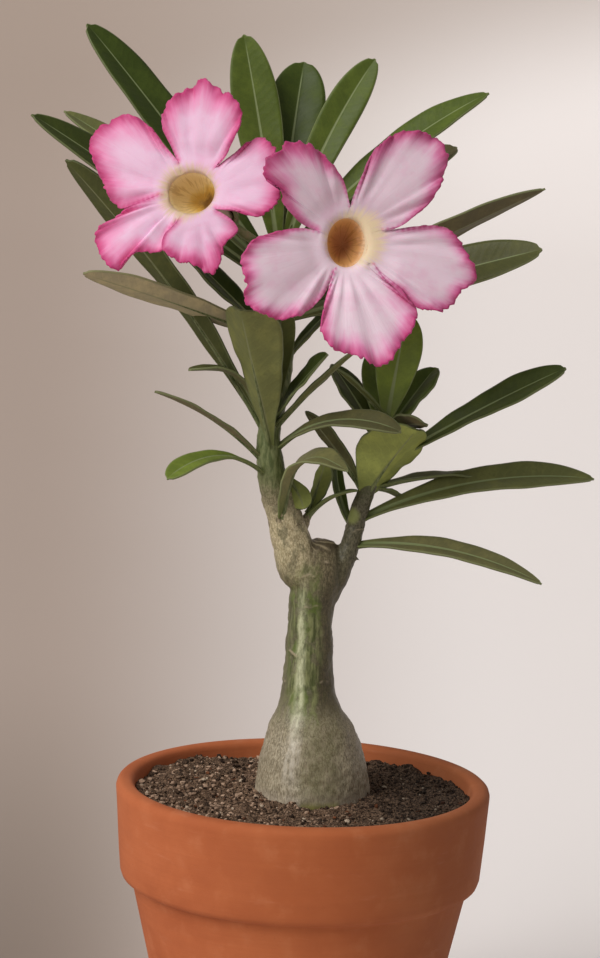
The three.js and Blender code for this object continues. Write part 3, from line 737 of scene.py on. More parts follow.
upperCrown = [
    leaf(277, 167, 53, 6, 108, 16, 35, 0.15, tone=0.22, widest=0.72),
    leaf(275, 193, 36, 5, 101.5, 14.5, 42, 0.45, tone=0.2, olive=0.1),
    leaf(278, 147, 36, 14, 105, 12, 20, 0.5, tone=0.45, olive=0.4),
    leaf(283, 136, 77.3, 5, 77.5, 15.6, 50, 0.1, tone=0.5, widest=0.7),
    leaf(284, 76, 80, 20, 69.5, 19, -12, 0.12, tone=0.28, widest=0.75),
    leaf(283, 26, 75.5, 22, 76, 12.5, -55, 0.1, tone=0.5, widest=0.74),
    leaf(283, 13, 53, 26, 91, 13.5, -30, 0.45, tone=0.5, neck=1.6),
    leaf(281, 27, 42, 19, 77, 17, -20, 0.1, tone=0.3, olive=0.8),
    leaf(267, 1, 29.5, 3, 95, 14, 32, 0.9, tone=0.2, olive=0.8),
    leaf(266, -9, 20, 4, 88, 16, -50, 0.1, tone=0.32, olive=0.45),
    leaf(258, -158, 21, 5, 74, 11.4, -35, 0.2, tone=1, olive=0.85),
    leaf(256, 176, 43, 0, 52, 12.5, 20, 0.5, tone=0.15),
    leaf(252, 42, 43, 10, 32, 5.5, 0, 0.5, tone=0.3),
]

lowerCrown = [
    leaf(228, 178, 59, 14, 112.5, 14.5, -45, 0.3, tone=0.14, olive=0.1, widest=0.78),
    leaf(231, -160, 57, 58, 38, 9, 0, 0.2, tone=0.3, olive=0.4, bend=(0.42, 0.78)),
    leaf(218, -155, 45, 26, 50, 8, 0, 0.5, tone=0.35, olive=0.75),
    leaf(213, -133, 42, 72, 53, 7.6, 22, 0.1, tone=1, widest=0.84, neck=3),
    leaf(224, -114, 62, 2, 55.5, 20, 6, 0.1, tone=0.47, olive=0.2, widest=0.86, neck=1.35, trough=0.62,
         root=(-14.4, -6, 224)),
    leaf(239, -88, 62, 6, 43, 10, 0, 0.5, tone=0.25),
    leaf(233, -50, 47, 8, 38, 11, -50, 0.5, tone=0.22),
    leaf(229, -34, 46, 6, 46, 5, 0, 0.5, tone=0.3, olive=0.3),
    leaf(222, -27, 48, 68, 52, 8.6, -34, 0.3, tone=0.35, olive=0.6, widest=0.78, neck=1.6),
    leaf(202, -38, 75, 92, 41, 12.5, -20, 0.6, tone=0.62, olive=0.55, widest=0.46, bend=(0.3, 0.8), neck=1,
         root=(-10.4, -6.4, 202)),
    leaf(215, -24, -40, 34, 12, 7.6, 122, 0, tone=1, widest=0.7, neck=1.4, root=(-9, -2.6, 215)),
]

rightCrown = [
    leaf(206.5, -38, 57, 10, 34, 23.5, 24, 0.1, tone=0.95, widest=0.66, trough=0.5),
    leaf(225, 140, 54, 12, 34, 13, 0, 0.5, tone=0.15, olive=0.2),
    leaf(236, -150, 42, 4, 27, 5, 0, 0.6, tone=0.25),
    leaf(227, 42, 50, 10, 33, 14, 0, 0.1, tone=0.42),
    leaf(232, -53, 16, 10, 20, 9, 30, 0, tone=0.1, olive=0.8),
    leaf(232, 60, 75, 6, 38, 15, -20, 0, tone=1),
    leaf(228, 97, 54, 10, 35, 12, 0, 0, tone=0.5),
    leaf(217, 3, 34, 8, 72, 12.5, -30, 0.15, tone=0.26, olive=0.1, widest=0.75, neck=1.9),
    leaf(200, 8, 27, 33, 82.3, 12, -35, 0.5, tone=0.52, olive=0.4),
    leaf(211, 19, 16, 30, 51, 10, 0, 0.5, tone=0.3, olive=0.4),
    leaf(192, -12, 10, 35, 66, 8.6, -30, 0.5, tone=0.5, olive=0.6, widest=0.55),
    leaf(212, 38, -10, 20, 15, 7, 0, 0.5, tone=0.2),
    leaf(209, -170, 60, 14, 35, 7.4, -35, 0.5, tone=0.15, olive=0.4),
    leaf(197, 134, 44, -50, 27, 5, 0, 0.5, tone=0.3),
]

sideLeaves = [
    leaf(202.5, 20, 68, -8, 18.5, 8, 160, 0.3, tone=0.75),
    leaf(201.5, -15, 50, 40, 20, 5, 0, 0.5, tone=0.5),
]


def leafWidth(one, along):
    stalk = leafForm["stalkWidth"] * (1 - along) ** 3
    if along < one["widest"]:
        broad = math.sin(math.pi / 2 * along / one["widest"]) ** one["neck"]
    else:
        rest = min((along - one["widest"]) / (1 - one["widest"]), 1)
        broad = (1 - rest ** (2 - 0.3 * one["point"])) ** (0.5 + 0.4 * one["point"])
    return max(one["width"] * broad + stalk, 0.5)


def centreAt(stations, z):
    steps = 200
    places = (alongSpline(stations, i / steps) for i in range(steps + 1))
    return min(places, key=lambda place: abs(place.z - z)).xyz


# Places along the middle of a leaf, each with the way its face looks and the way to its right.
def midribOf(one, root):
    steps = 48
    point = root.copy()
    bearing = math.radians(one["bearing"])
    roll = math.radians(one["roll"])
    left = Vector((-math.sin(bearing), math.cos(bearing), 0))
    midrib = []
    for i in range(steps + 1):
        bent = (i / steps - one["bend"][0]) / (one["bend"][1] - one["bend"][0])
        rise = math.radians(one["rise"] - one["droop"] * min(max(bent, 0), 1))
        level = math.cos(rise)
        heading = Vector((math.cos(bearing) * level, math.sin(bearing) * level, math.sin(rise)))
        face = heading.cross(left)
        turned = face * math.cos(roll) + left * math.sin(roll)
        midrib.append((point.copy(), turned, heading.cross(turned)))
        point += heading * (one["length"] / steps)
    return midrib


def midribAt(midrib, along):
    place = along * (len(midrib) - 1)
    i = min(int(place), len(midrib) - 2)
    return [a.lerp(b, place - i) for a, b in zip(midrib[i], midrib[i + 1])]


# What each place on a blade carries for its finish, distances in millimetres.
leafLayers = ("tone", "olive", "side", "edge", "far", "share")


def addLeaf(blades, ribs, one, root, number):
    midrib = midribOf(one, root)
    layers = [attributeLayer(blades, name) for name in leafLayers]
    height = leafForm["waveHeight"] * one["width"]
    drift = number * 1.7

    def place(vert, u, v):
        across = 2 * u - 1
        along = math.sin(math.pi / 2 * v)
        point, face, right = midribAt(midrib, along)
        half = leafWidth(one, along) / 2
        if along > leafForm["tipFrom"]:
            half *= leafForm["tipShare"]  # a small sharp point on the rounded tip
        ripple = math.sin(2 * math.pi * leafForm["waves"] * along + (0 if across > 0 else 2)) * across ** 2
        small = math.sin(2 * math.pi * leafForm["smallWaves"] * along + drift + 2 * across)
        small = small * across ** 2 * leafForm["smallShare"]
        lift = half * (one["trough"] * abs(across) ** 1.1 - 0.07 * across ** 6)
        lift += height * (ripple + small) * math.sin(math.pi * along)
        fromMidrib, fromEdge = abs(across) * half, (1 - abs(across)) * half
        values = (one["tone"], one["olive"], fromMidrib, fromEdge, along * one["length"], along)
        for layer, value in zip(layers, values):
            vert[layer] = value
        return (point + right * across * half + face * lift) * mm

    gridSheet(blades, leafForm["columns"], leafForm["rows"], place)

    rib = []
    for along in (0.0, 0.04, 0.1, 0.25, 0.45, 0.65, 0.85, 0.95):
        point, face, _ = midribAt(midrib, along)
        radius = leafForm["ribFoot"] + (leafForm["ribTip"] - leafForm["ribFoot"]) * min(1, along / 0.6) ** 0.6
        rib.append(Vector((*(point - face * radius * 0.55), radius)))
    bearing = math.radians(one["bearing"])
    limbTube(ribs, rib, 8, 30, reference=Vector((-math.sin(bearing), math.cos(bearing), 0)))


# The two faces of a blade. green and olive each run from a dark tone to a light one.
leafFaces = {
    "leafUpper": {
        "green": ((0.017, 0.031, 0.006), (0.150, 0.205, 0.036)),
        "olive": ((0.050, 0.044, 0.016), (0.30, 0.25, 0.15)),
        "rib": (0.25, 0.30, 0.14),
        "ribShare": 0.85,
        "roughness": (0.36, 0.50),
        "shine": 0.15,
    },
    "leafUnder": {
        "green": ((0.040, 0.048, 0.018), (0.30, 0.34, 0.10)),
        "olive": ((0.080, 0.066, 0.034), (0.40, 0.34, 0.23)),
        "rib": (0.26, 0.27, 0.15),
        "ribShare": 0.6,
        "roughness": (0.5, 0.62),
        "shine": 0.06,
    },
}


def leafFinish(name):
    look = leafFaces[name]
    material, tree, shader = newMaterial(name)
    tone, olive, side, edge, far, share = (attributeOf(tree, layer) for layer in leafLayers)
    place = objectPlace(tree)
    mottle = place.noise(0.16, 4, 0.6)
    speckle = place.noise(0.9, 4, 0.65)
    colour = olive.mix(tone.mix(*look["green"]), tone.mix(*look["olive"]))
    paler = colour.scaled((1.55, 1.5, 1.3))
    deeper = colour.scaled((0.72, 0.74, 0.70))
    colour = mottle.ramp(0.42, 0.70, 0, 0.55).mix(colour, paler)
    colour = speckle.ramp(0.50, 0.72, 0, 0.4).mix(colour, deeper)
    # Side veins leave the midrib at a slant towards the tip.
    phase = (far - side * 0.7) / leafForm["veinSpacing"] + mottle * 1.4
    vein = (phase * (2 * math.pi)).reckon("SINE")
    colour = vein.ramp(0.80, 1.0, 0, 0.16).mix(colour, paler)
    # The midrib: wide at the foot, fine at the tip.
    wide = share.ramp(0.0, 0.9, leafForm["ribLine"] * 1.7, leafForm["ribLine"] * 0.45)
    ribLine = (side / wide).ramp(0.6, 1.25, look["ribShare"], 0) * share.ramp(0.88, 0.985, 1, 0.1)
    colour = ribLine.mix(colour, look["rib"])
    # A pale margin and a pale foot.
    colour = edge.ramp(0.12, 0.40, 0.55, 0).mix(colour, (0.24, 0.27, 0.13))
    colour = far.ramp(0.0, 15, 0.75, 0).mix(colour, (0.15, 0.185, 0.055))
    dress(shader, colour, mottle.ramp(0.3, 0.7, *look["roughness"]), look["shine"])
    bumpOf(shader, vein * 0.14 + speckle * 0.6 - ribLine * 0.7, 0.3, 0.3)
    return material


def stemFinish():
    material, tree, shader = newMaterial("greenStem")
    place = objectPlace(tree)
    across, _, height = place.split()
    woody = attributeOf(tree, "woody")
    cloud = place.noise(0.25, 3, 0.6)
    streak = objectPlace(tree, (0.9, 0.9, 0.25)).noise(1.0, 4, 0.6)
    fleck = objectPlace(tree, (1.6, 1.6, 0.9)).noise(1.0, 4, 0.7)
    # Darker on the right stem: its own darker bark, deepened with painted shade.
    right = across.ramp(5, 9) * woody
    streaky = streak.ramp(0.35, 0.65)
    colour = right.mix(streaky.mix((0.085, 0.112, 0.034), (0.20, 0.225, 0.095)),
                       streaky.mix((0.048, 0.054, 0.018), (0.125, 0.140, 0.058)))
    # Corky towards the trunk.
    corky = fleck.ramp(0.36, 0.64)
    cork = right.mix(corky.mix((0.150, 0.122, 0.066), (0.42, 0.350, 0.225)),
                     corky.mix((0.045, 0.038, 0.018), (0.150, 0.135, 0.085)))
    low = (height + cloud * 14).ramp(210, 226, 0.95, 0) * woody
    colour = low.mix(colour, cork)
    # A fresh bud scar on the right stem.
    scar = place.distanceTo((12.8, 0.2, 202.5))
    colour = scar.ramp(1.6, 3.6, 0.8, 0).mix(colour, (0.24, 0.27, 0.075))
    dress(shader, colour, cloud.ramp(0.3, 0.7, 0.42, 0.6), 0.35)
    bumpOf(shader, streak + fleck * 0.6, 0.35, 0.3)
    return material


leafFinishes = [leafFinish("leafUpper"), leafFinish("leafUnder")]
greenStem = stemFinish()


def stemRelief(point, turn):
    return 0.22 * noise.noise(point * 0.35) + 0.12 * max(0, math.sin(point.z * 2 * math.pi / 4.6 + turn)) ** 5


def makeLeafyStem(name, stations, leaves, sides, rings, node):
    blades, ribs = bmesh.new(), bmesh.new()
    for bm in (blades, ribs):
        bm.loops.layers.uv.verify()
    limbTube(ribs, stations, sides, rings, relief=stemRelief)
    woody = attributeLayer(ribs, "woody")
    for vert in ribs.verts:
        vert[woody] = 1
    for number, one in enumerate(leaves):
        root = Vector(one["root"]) if one["root"] else centreAt(stations, one["z"])
        addLeaf(blades, ribs, one, root, number)
    leafPiece = addPiece(name + "_leaves", newMesh(name + "_leaves", blades), leafFinishes, "leaf", node)
    solidify(leafPiece, leafForm["thickness"], backMaterial=1)
    addPiece(name + "_stem", newMesh(name + "_stem", ribs), [greenStem], "leaf", node)
    print(name, "made with", len(leaves), "leaves")


makeLeafyStem("left", leftStem, upperCrown + lowerCrown, 28, 120, "left_leafy_stem")
makeLeafyStem("right", rightStem, rightCrown, 24, 80, "right_leafy_stem")
makeLeafyStem("side", sideStem, sideLeaves, 14, 20, "side_shoot")


flowerForm = {
    "openingRadius": 5.8,
    "throatRadius": 8.2,
    "notchRadius": 10.4,
    "fusedRadius": 9.2,
    "tubeRadius": 3.4,
    "tubeLength": 34,
    "funnelDepth": 20,
    "thickness": 0.6,
    "columns": 140,
    "rows": 34,
    "serration": (0.70, 0.50, 0.16),
    "ruffle": 1.2,
    "crimp": 0.6,
}


# Each lobe: its direction round the mouth, how it cups and curls, the painted light and shade that scale
# its colour, how wide its pink flush is at the right notch, the tip and the left notch, and its margin as
# places of (reach from the mouth's centre, offset to the left) from the right notch to the left one.
def lobe(angle, length, cup, curl, paintedLightAndShade, flush, margin):
    return {"angle": angle, "length": length, "cup": cup, "curl": curl, "paintedLightAndShade": paintedLightAndShade, "flush": flush,
            "margin": margin}


leftFlower = {
    "name": "left_flower",
    "mouth": (-41.5, -35, 310.5),
    "facing": (-0.3, -0.9, 0.33),
    "root": (-14.4, 9.6, 287),
    "mouthShape": (1.1, 0.96),
    "mouthShift": (-0.6, -0.7),
    "petal": {"centre": (0.85, 0.55, 0.74), "wash": (0.80, 0.22, 0.45), "rim": (0.52, 0.030, 0.17),
              "cream": (0.76, 0.58, 0.32), "creamLean": (-0.95, -0.3), "washReach": 9.0, "rimReach": 3.4},
    "throat": {"lip": (0.88, 0.68, 0.33), "halo": (0.76, 0.54, 0.175), "wall": (0.63, 0.38, 0.080),
               "deepBrownAndShade": (0.17, 0.080, 0.018), "centre": (2.9, -1.3), "spread": (5.2, 3.7)},
    "lobes": [
        lobe(10, 23, cup=0, curl=0.15, paintedLightAndShade=1.04, flush=(1.3, 1.1, 0.8), margin=[
            (14, -8.6), (20, -10.8), (25, -9.6), (27.8, -4), (28, 5), (26, 12.5), (20.5, 15.4), (14, 11)]),
        lobe(89, 27, cup=0.35, curl=0.15, paintedLightAndShade=1.03, flush=(1.15, 1.4, 1.15), margin=[
            (14, -11), (21, -14), (28, -12.4), (31.4, -6.4), (33.4, -2.6), (34.8, 0.4), (33, 3.2), (30.4, 7),
            (26.5, 12.4), (20, 13), (14, 9.6)]),
        lobe(158, 29, cup=0.12, curl=0.12, paintedLightAndShade=1.03, flush=(1.1, 1.35, 1.4), margin=[
            (15, -8.4), (23.6, -11.8), (32.6, -11.6), (38, -5), (39.8, 1.5), (34.4, 6.2), (28, 11.4),
            (19.6, 15.4), (13.5, 10)]),
        lobe(222, 27, cup=0.4, curl=0.2, paintedLightAndShade=1.13, flush=(0.8, 1.15, 1.0), margin=[
            (15.5, -6.2), (25, -6.6), (33, -5.2), (34.9, 1), (34, 7.5), (29.5, 7.4), (24.5, 7.6), (18, 11),
            (13, 6)]),
        lobe(283, 23, cup=0.7, curl=0.2, paintedLightAndShade=0.93, flush=(1.2, 1.5, 1.3), margin=[
            (14, -8.8), (20, -8.8), (24.6, -4), (27, 1), (31.5, 7.5), (28, 10.2), (21.4, 10.6), (17.5, 14.8),
            (12, 12)]),
    ],
}

rightFlower = {
    "name": "right_flower",
    "mouth": (8.6, -44, 297.5),
    "facing": (0.1, -0.98, 0.15),
    "root": (-12.8, 8.6, 280),
    "mouthShape": (0.86, 1.1),
    "mouthShift": (-1.3, -1.0),
    "petal": {"centre": (0.78, 0.60, 0.70), "wash": (0.72, 0.24, 0.46), "rim": (0.44, 0.025, 0.15),
              "cream": (0.86, 0.68, 0.42), "creamLean": (0.9, 0.2), "washReach": 6.4, "rimReach": 3.4},
    "throat": {"lip": (0.82, 0.58, 0.36), "halo": (0.72, 0.40, 0.18), "wall": (0.66, 0.36, 0.13),
               "deepBrownAndShade": (0.50, 0.235, 0.105), "centre": (-2.1, -0.6), "spread": (4.7, 6.8)},
    "lobes": [
        lobe(52, 33, cup=0.32, curl=0.16, paintedLightAndShade=0.9, flush=(0.8, 1.2, 0.9), margin=[
            (13, -9.4), (19, -10.8), (25, -11.6), (35, -9), (40.4, -4), (40, 3), (35, 9.5), (26, 11.8),
            (17, 9.6)]),
        lobe(132, 30, cup=0.35, curl=0.16, paintedLightAndShade=0.96, flush=(0.8, 1.6, 2.2), margin=[
            (15, -9.8), (22, -10.2), (30, -9), (35.8, -4), (35.2, 0), (36, 4), (32.4, 8.4), (25.6, 7.2),
            (22, 9), (15, 8.6)]),
        lobe(202, 28, cup=0.3, curl=0.12, paintedLightAndShade=1.14, flush=(1.0, 1.0, 0.8), margin=[
            (13.8, -8.8), (21, -10.2), (29.5, -10.4), (35, -5.8), (36, 1), (38.2, 6), (35, 11.5), (28.3, 16),
            (20, 15.8), (13.5, 12.6)]),
        lobe(283, 31, cup=0.3, curl=0.12, paintedLightAndShade=1.16, flush=(0.8, 1.3, 0.9), margin=[
            (14, -10.2), (20, -13.4), (27, -15.5), (33, -12), (36, -6), (40.7, 0.5), (37, 6.4), (27, 15.5),
            (19, 11.2), (13, 7.4)]),
        lobe(346, 33, cup=0.2, curl=0.16, paintedLightAndShade=1.0, flush=(0.9, 0.8, 0.8), margin=[
            (14, -9.6), (19, -11), (25, -15), (34, -13.5), (38, -6), (41.4, -1), (37, 4.8), (30, 10.8),
            (23, 10.9), (14, 7.2)]),
    ],
}

calyx = {
    "sepals": 5,
    "sepalLength": 8,
    "sepalWidth": 2.1,
    "sepalWall": 0.6,
    "stalkRadius": 1.7,
    "sides": 32,
}


# A flower is built round the origin, facing up, and this turns it into its place.
def flowerFrame(flower):
    out = Vector(flower["facing"]).normalized()
    right = Vector((0, 0, 1)).cross(out).normalized()
    turn = Matrix((right, out.cross(right), out)).transposed().to_4x4()
    return Matrix.Translation(Vector(flower["mouth"]) * mm) @ turn


# How far the fused collar falls into the throat.
def lipHeight(reach):
    return -0.55 * max(0, 9.6 - reach) ** 1.5 * 0.6


# Even places along a lobe's outer edge, from notch to notch, its length, and the notches' directions.
def lobeMargin(petal, before, after):
    radius = flowerForm["notchRadius"]
    right = math.radians(((before - petal["angle"]) % 360 - 360) / 2)
    left = math.radians(((after - petal["angle"]) % 360) / 2)
    ends = [Vector((radius * math.cos(a), radius * math.sin(a), 0)) for a in (right, left)]
    shape = [ends[0]] + [Vector((reach, side, 0)) for reach, side in petal["margin"]] + [ends[1]]
    even, length = evenPoints(shape, flowerForm["columns"])
    return even, length, right, left


# What each place on a petal carries for its finish.
petalLayers = ("inset", "reach", "flush", "paintedLightAndShade", "localX", "localY")


def addLobe(bm, flower, petal, before, after):
    layers = [attributeLayer(bm, name) for name in petalLayers]
    margin, length, right, left = lobeMargin(petal, before, after)
    columns = flowerForm["columns"]
    inner = flowerForm["throatRadius"] - 1.1
    angle = math.radians(petal["angle"])
    wide, tall = flower["mouthShape"]
    shift = Vector((*flower["mouthShift"], 0))
    towards, back = (Matrix.Rotation(sign * angle, 3, "Z") for sign in (1, -1))
    seed = Vector((petal["angle"] * 0.37, flower["mouth"][0], 3.1))

    def serrated(column):
        spot = margin[column]
        along = length * column / columns
        ends = smooth(0.05, 0.3, column / columns) * smooth(0.05, 0.3, 1 - column / columns)
        jag = sum(size * noise.noise(Vector((along * pace, 5 * pace, 0)) + seed)
                  for size, pace in zip(flowerForm["serration"], (0.5, 1.15, 2.6)))
        return spot * (1 + ends * jag / max(spot.length, 1) * 1.3)

    edge = [serrated(i) for i in range(columns + 1)]

    # Waves along the margin, their length uneven.
    def waves(wander, spacing, start, uneven, pace, row):
        drift = uneven * noise.noise(Vector((wander * pace, row, 0)) + seed)
        return math.sin(2 * math.pi * wander / spacing + start + drift)

    def place(vert, u, along):
        turn = right + (left - right) * u
        ring = Vector((inner * wide * math.cos(turn + angle), inner * tall * math.sin(turn + angle), 0))
        spot = (back @ (ring + shift)).lerp(edge[round(u * columns)], along ** 0.85)
        inset = min((spot - other).length for other in edge[::3]) if along < 1 else 0
        reach, side = spot.x, spot.y
        far = math.hypot(reach, side)
        part = max(reach - flowerForm["fusedRadius"], 0) / petal["length"]
        free = smooth(10.5, 19, far)
        height = petal["length"] * (petal["cup"] * part - petal["curl"] * part * part) * smooth(0, 0.25, part)
        height -= side * 0.14 * (1 - 0.5 * part) * free
        # Neighbouring lobes lie over one another near the notch.
        overlap = smooth(9.9, 11.6, far) * smooth(24, 14, far) * smooth(0.2, 0, min(u, 1 - u))
        height -= math.copysign(0.45, side) * overlap
        x, y, _ = towards @ Vector((reach, side, 0))
        height += lipHeight(math.hypot((x - shift.x) / wide, (y - shift.y) / tall))
        # Ruffled margin and soft folds that fan out from the mouth.
        apart = smooth(0.06, 0.32, u) * smooth(0.06, 0.32, 1 - u)
        nearEdge = math.exp(-inset / 3.6) * free * (0.08 + 0.92 * apart)
        wander = length * u
        ruffle = flowerForm["ruffle"] * waves(wander, 11.5, petal["angle"], 1.2, 0.12, 1)
        crimp = flowerForm["crimp"] * waves(wander, 4.3, 2 * petal["angle"], 1.6, 0.3, 2)
        height += (ruffle + crimp * apart * math.exp(-inset / 1.5)) * nearEdge
        fold = math.sin(5.2 * u * math.pi + petal["angle"]) * 0.5
        fold += math.sin(11 * u * math.pi + 2 * petal["angle"]) * 0.22
        crease = math.exp(-((u - 0.5 - 0.12 * math.sin(petal["angle"])) / 0.05) ** 2)
        height += (0.6 * fold - 0.45 * crease) * free * smooth(0, 6, inset) ** 0.5
        first, tip, last = petal["flush"]
        flush = first + (tip - first) * smooth(0, 0.5, u) + (last - tip) * smooth(0.5, 1, u)
        for layer, value in zip(layers, (inset, far, flush, petal["paintedLightAndShade"], x, y)):
            vert[layer] = value
        return Vector((x, y, height)) * mm

    gridSheet(bm, columns, flowerForm["rows"], place)


def petalFinish(name, colours):
    material, tree, shader = newMaterial(name)
    u, v, _ = Wire(newNode(tree, "UVMap", {}).outputs[0]).split()
    inset, reach, flush, paintedLightAndShade, localX, localY = (attributeOf(tree, layer) for layer in petalLayers)
    # Streaks that run from the mouth out to the margin.
    streak = joined(u * 60, v * 2.4, 0.0).noise(1.0, 4, 0.65)
    broad = joined(u * 11, v * 1.5, 0.0).noise(1.0, 2, 0.5)
    cloud = objectPlace(tree).noise(0.13, 3, 0.6)
    spread = (streak - 0.5) * 4.0 + (broad - 0.5) * 5.5
    # The flush is broad at the lobe's tip and thin near the notches.
    share = reach.ramp(12, 30, 0.20, 1.0) * flush
    depth = (inset + spread * share) / share
    colour = depth.ramp(0.0, colours["washReach"], 1.0, 0.0).mix(colours["centre"], colours["wash"])
    calm = share * reach.ramp(13, 24)
    near = (inset + spread * 0.34 * calm) / (share * colours["rimReach"])
    rimShare = near.ramp(-0.1, 1.0, 0.95, 0.0) * reach.ramp(11.5, 19, 0.3, 1)
    colour = rimShare.mix(colour, colours["rim"])
    colour = streak.ramp(0.52, 0.72, 0, 0.12).mix(colour, colours["wash"])
    colour = cloud.ramp(0.45, 0.7, 0, 0.22).mix(colour, colours["wash"])
    # Painted light and shade: each lobe's colour is made lighter or darker as a whole.
    colour = colour.scaled(joined(paintedLightAndShade, paintedLightAndShade, paintedLightAndShade))
    # Cream near the mouth, further out on one side, in uneven rays.
    leanX, leanY = colours["creamLean"]
    lean = (localX * leanX + localY * leanY).ramp(-4, 10, 1.6, -1.6)
    rays = (streak - 0.5) * 7 + (broad - 0.5) * 6
    colour = (reach + rays + lean).ramp(6.8, 11.2, 0.9, 0).mix(colour, colours["cream"])
    soft = {"Sheen Weight": 0.12, "Sheen Roughness": 0.5, "Subsurface Weight": 0.12,
            "Subsurface Radius": (1.0, 0.4, 0.5), "Subsurface Scale": 0.003}
    dress(shader, colour, 0.55, 0.3, soft)
    bumpOf(shader, streak + broad * 0.8, 0.25, 0.4)
    return material


throatLayers = ("depth", "outside", "localX", "localY", "aroundX", "aroundY")


def throatFinish(name, colours):
    material, tree, shader = newMaterial(name)
    depth, outside, localX, localY, aroundX, aroundY = (attributeOf(tree, layer) for layer in throatLayers)
    cloud = objectPlace(tree).noise(0.3, 4, 0.6)
    # Fine streaks that run down the funnel.
    streak = joined(aroundX * 6, aroundY * 6, depth * 0.12).noise(1.0, 4, 0.65)
    # The deep part, its own brown darkened with painted shade, lies to one side, its outline uneven.
    offsets = [(local - middle) / spread
               for local, middle, spread in zip((localX, localY), colours["centre"], colours["spread"])]
    squareX, squareY = (offset * offset for offset in offsets)
    away = (squareX + squareY).reckon("SQRT") + (cloud - 0.5) * 0.7 + (streak - 0.5) * 0.6
    colour = away.ramp(0.35, 1.0).mix(colours["deepBrownAndShade"], colours["wall"])
    colour = away.ramp(0.92, 1.22).mix(colour, colours["halo"])
    colour = away.ramp(1.15, 1.5).mix(colour, colours["lip"])
    colour = depth.ramp(-1.6, -0.3).mix(colour, colours["lip"])
    colour = streak.ramp(0.48, 0.62, 0, 0.6).mix(colour, colour.scaled((0.62, 0.54, 0.46)))
    colour = outside.mix(colour, (0.62, 0.46, 0.36))
    dress(shader, colour, 0.6, 0.25)
    bumpOf(shader, streak, 0.35, 0.3)
    return material


def calyxFinish():
    material, tree, shader = newMaterial("calyx")
    place = objectPlace(tree)
    cloud = place.noise(0.4, 3, 0.6)
    colour = cloud.ramp(0.35, 0.65).mix((0.13, 0.155, 0.05), (0.24, 0.22, 0.10))
    colour = place.noise(0.8, 2, 0.6).ramp(0.55, 0.7, 0, 0.4).mix(colour, (0.30, 0.14, 0.10))
    dress(shader, colour, 0.55)
    bumpOf(shader, cloud, 0.3, 0.3)
    return material


# A profile of radius and height, turned about the flower's axis. Each place on it may be marked.
def spunShape(bm, profile, turns, marks=()):
    corners = [bm.verts.new((radius * mm, 0, height * mm)) for radius, height in profile]
    for vert, values in zip(corners, marks):
        for layer, value in values.items():
            vert[layer] = value
    edges = [bm.edges.new(pair) for pair in zip(corners, corners[1:])]
    spinRound(bm, corners + edges, turns)


def makeThroat(flower):
    bm = bmesh.new()
    depth, outside, *others = [attributeLayer(bm, name) for name in throatLayers]
    opening, throat = flowerForm["openingRadius"], flowerForm["throatRadius"]
    tube, length, funnel = flowerForm["tubeRadius"], flowerForm["tubeLength"], flowerForm["funnelDepth"]
    outer = [(0.01, -length), (tube - 0.6, -length), (tube, -length + 1), (tube + 0.2, -funnel),
             (opening - 0.2, -funnel / 2), (opening + 1.4, -3.4), (throat, -1.4), (throat + 0.7, -0.8),
             (throat + 0.8, -0.5)]
    inner = [(throat + 0.4, -0.25), (throat - 0.4, -0.5), (opening + 1.4, -1.1), (opening + 0.8, -2.0),
             (opening + 0.4, -3.4), (opening - 0.2, -5.2), (opening - 1.1, -7.2), (tube - 0.2, -9.2),
             (tube - 1.3, -10.6), (tube - 2.4, -11.4), (0.01, -11.8)]
    rows = outer + inner
    marks = [{depth: z, outside: 1.0 if i < len(outer) - 1 else 0.0} for i, (_, z) in enumerate(rows)]
    spunShape(bm, rows, 64, marks)
    shift = Vector(flower["mouthShift"])
    bmesh.ops.scale(bm, vec=(*flower["mouthShape"], 1), verts=bm.verts)
    bmesh.ops.translate(bm, vec=shift.to_3d() * mm, verts=bm.verts)
    for vert in bm.verts:
        local = vert.co.xy / mm
        for layer, value in zip(others, (*local, *(local - shift).normalized())):
            vert[layer] = value
    sealUp(bm, 0.02 * mm)
    bmesh.ops.transform(bm, matrix=flowerFrame(flower), verts=bm.verts)
    mesh = newMesh(flower["name"] + "_funnel", bm)
    finish = throatFinish(flower["name"] + "_throat", flower["throat"])
    addPiece(flower["name"] + "_funnel", mesh, [finish], "throat", flower["name"] + "_throat")


def makePetals(flower):
    bm = bmesh.new()
    bm.loops.layers.uv.verify()
    petals = flower["lobes"]
    for i, petal in enumerate(petals):
        addLobe(bm, flower, petal, petals[i - 1]["angle"], petals[(i + 1) % len(petals)]["angle"])
    bmesh.ops.transform(bm, matrix=flowerFrame(flower), verts=bm.verts)
    mesh = newMesh(flower["name"] + "_lobes", bm)
    finish = petalFinish(flower["name"] + "_petal", flower["petal"])
    piece = addPiece(flower["name"] + "_lobes", mesh, [finish], "petal", flower["name"] + "_petals")
    solidify(piece, flowerForm["thickness"])


def addSepal(bm, angle, cup, back):
    def place(vert, u, along):
        across = 2 * u - 1
        half = max(calyx["sepalWidth"] * math.cos(math.pi / 2 * along) ** 0.7, 0.25)
        reach = cup + 0.75 + 1.3 * along ** 2 - 0.25 * across * across
        x = math.cos(angle) * reach + math.sin(angle) * across * half
        y = math.sin(angle) * reach - math.cos(angle) * across * half
        return Vector((x, y, back + 1 + calyx["sepalLength"] * along)) * mm

    front = gridSheet(bm, 6, 12, place)
    faces = list({f for v in front for f in v.link_faces})
    bmesh.ops.recalc_face_normals(bm, faces=faces)
    bmesh.ops.solidify(bm, geom=faces, thickness=calyx["sepalWall"] * mm)


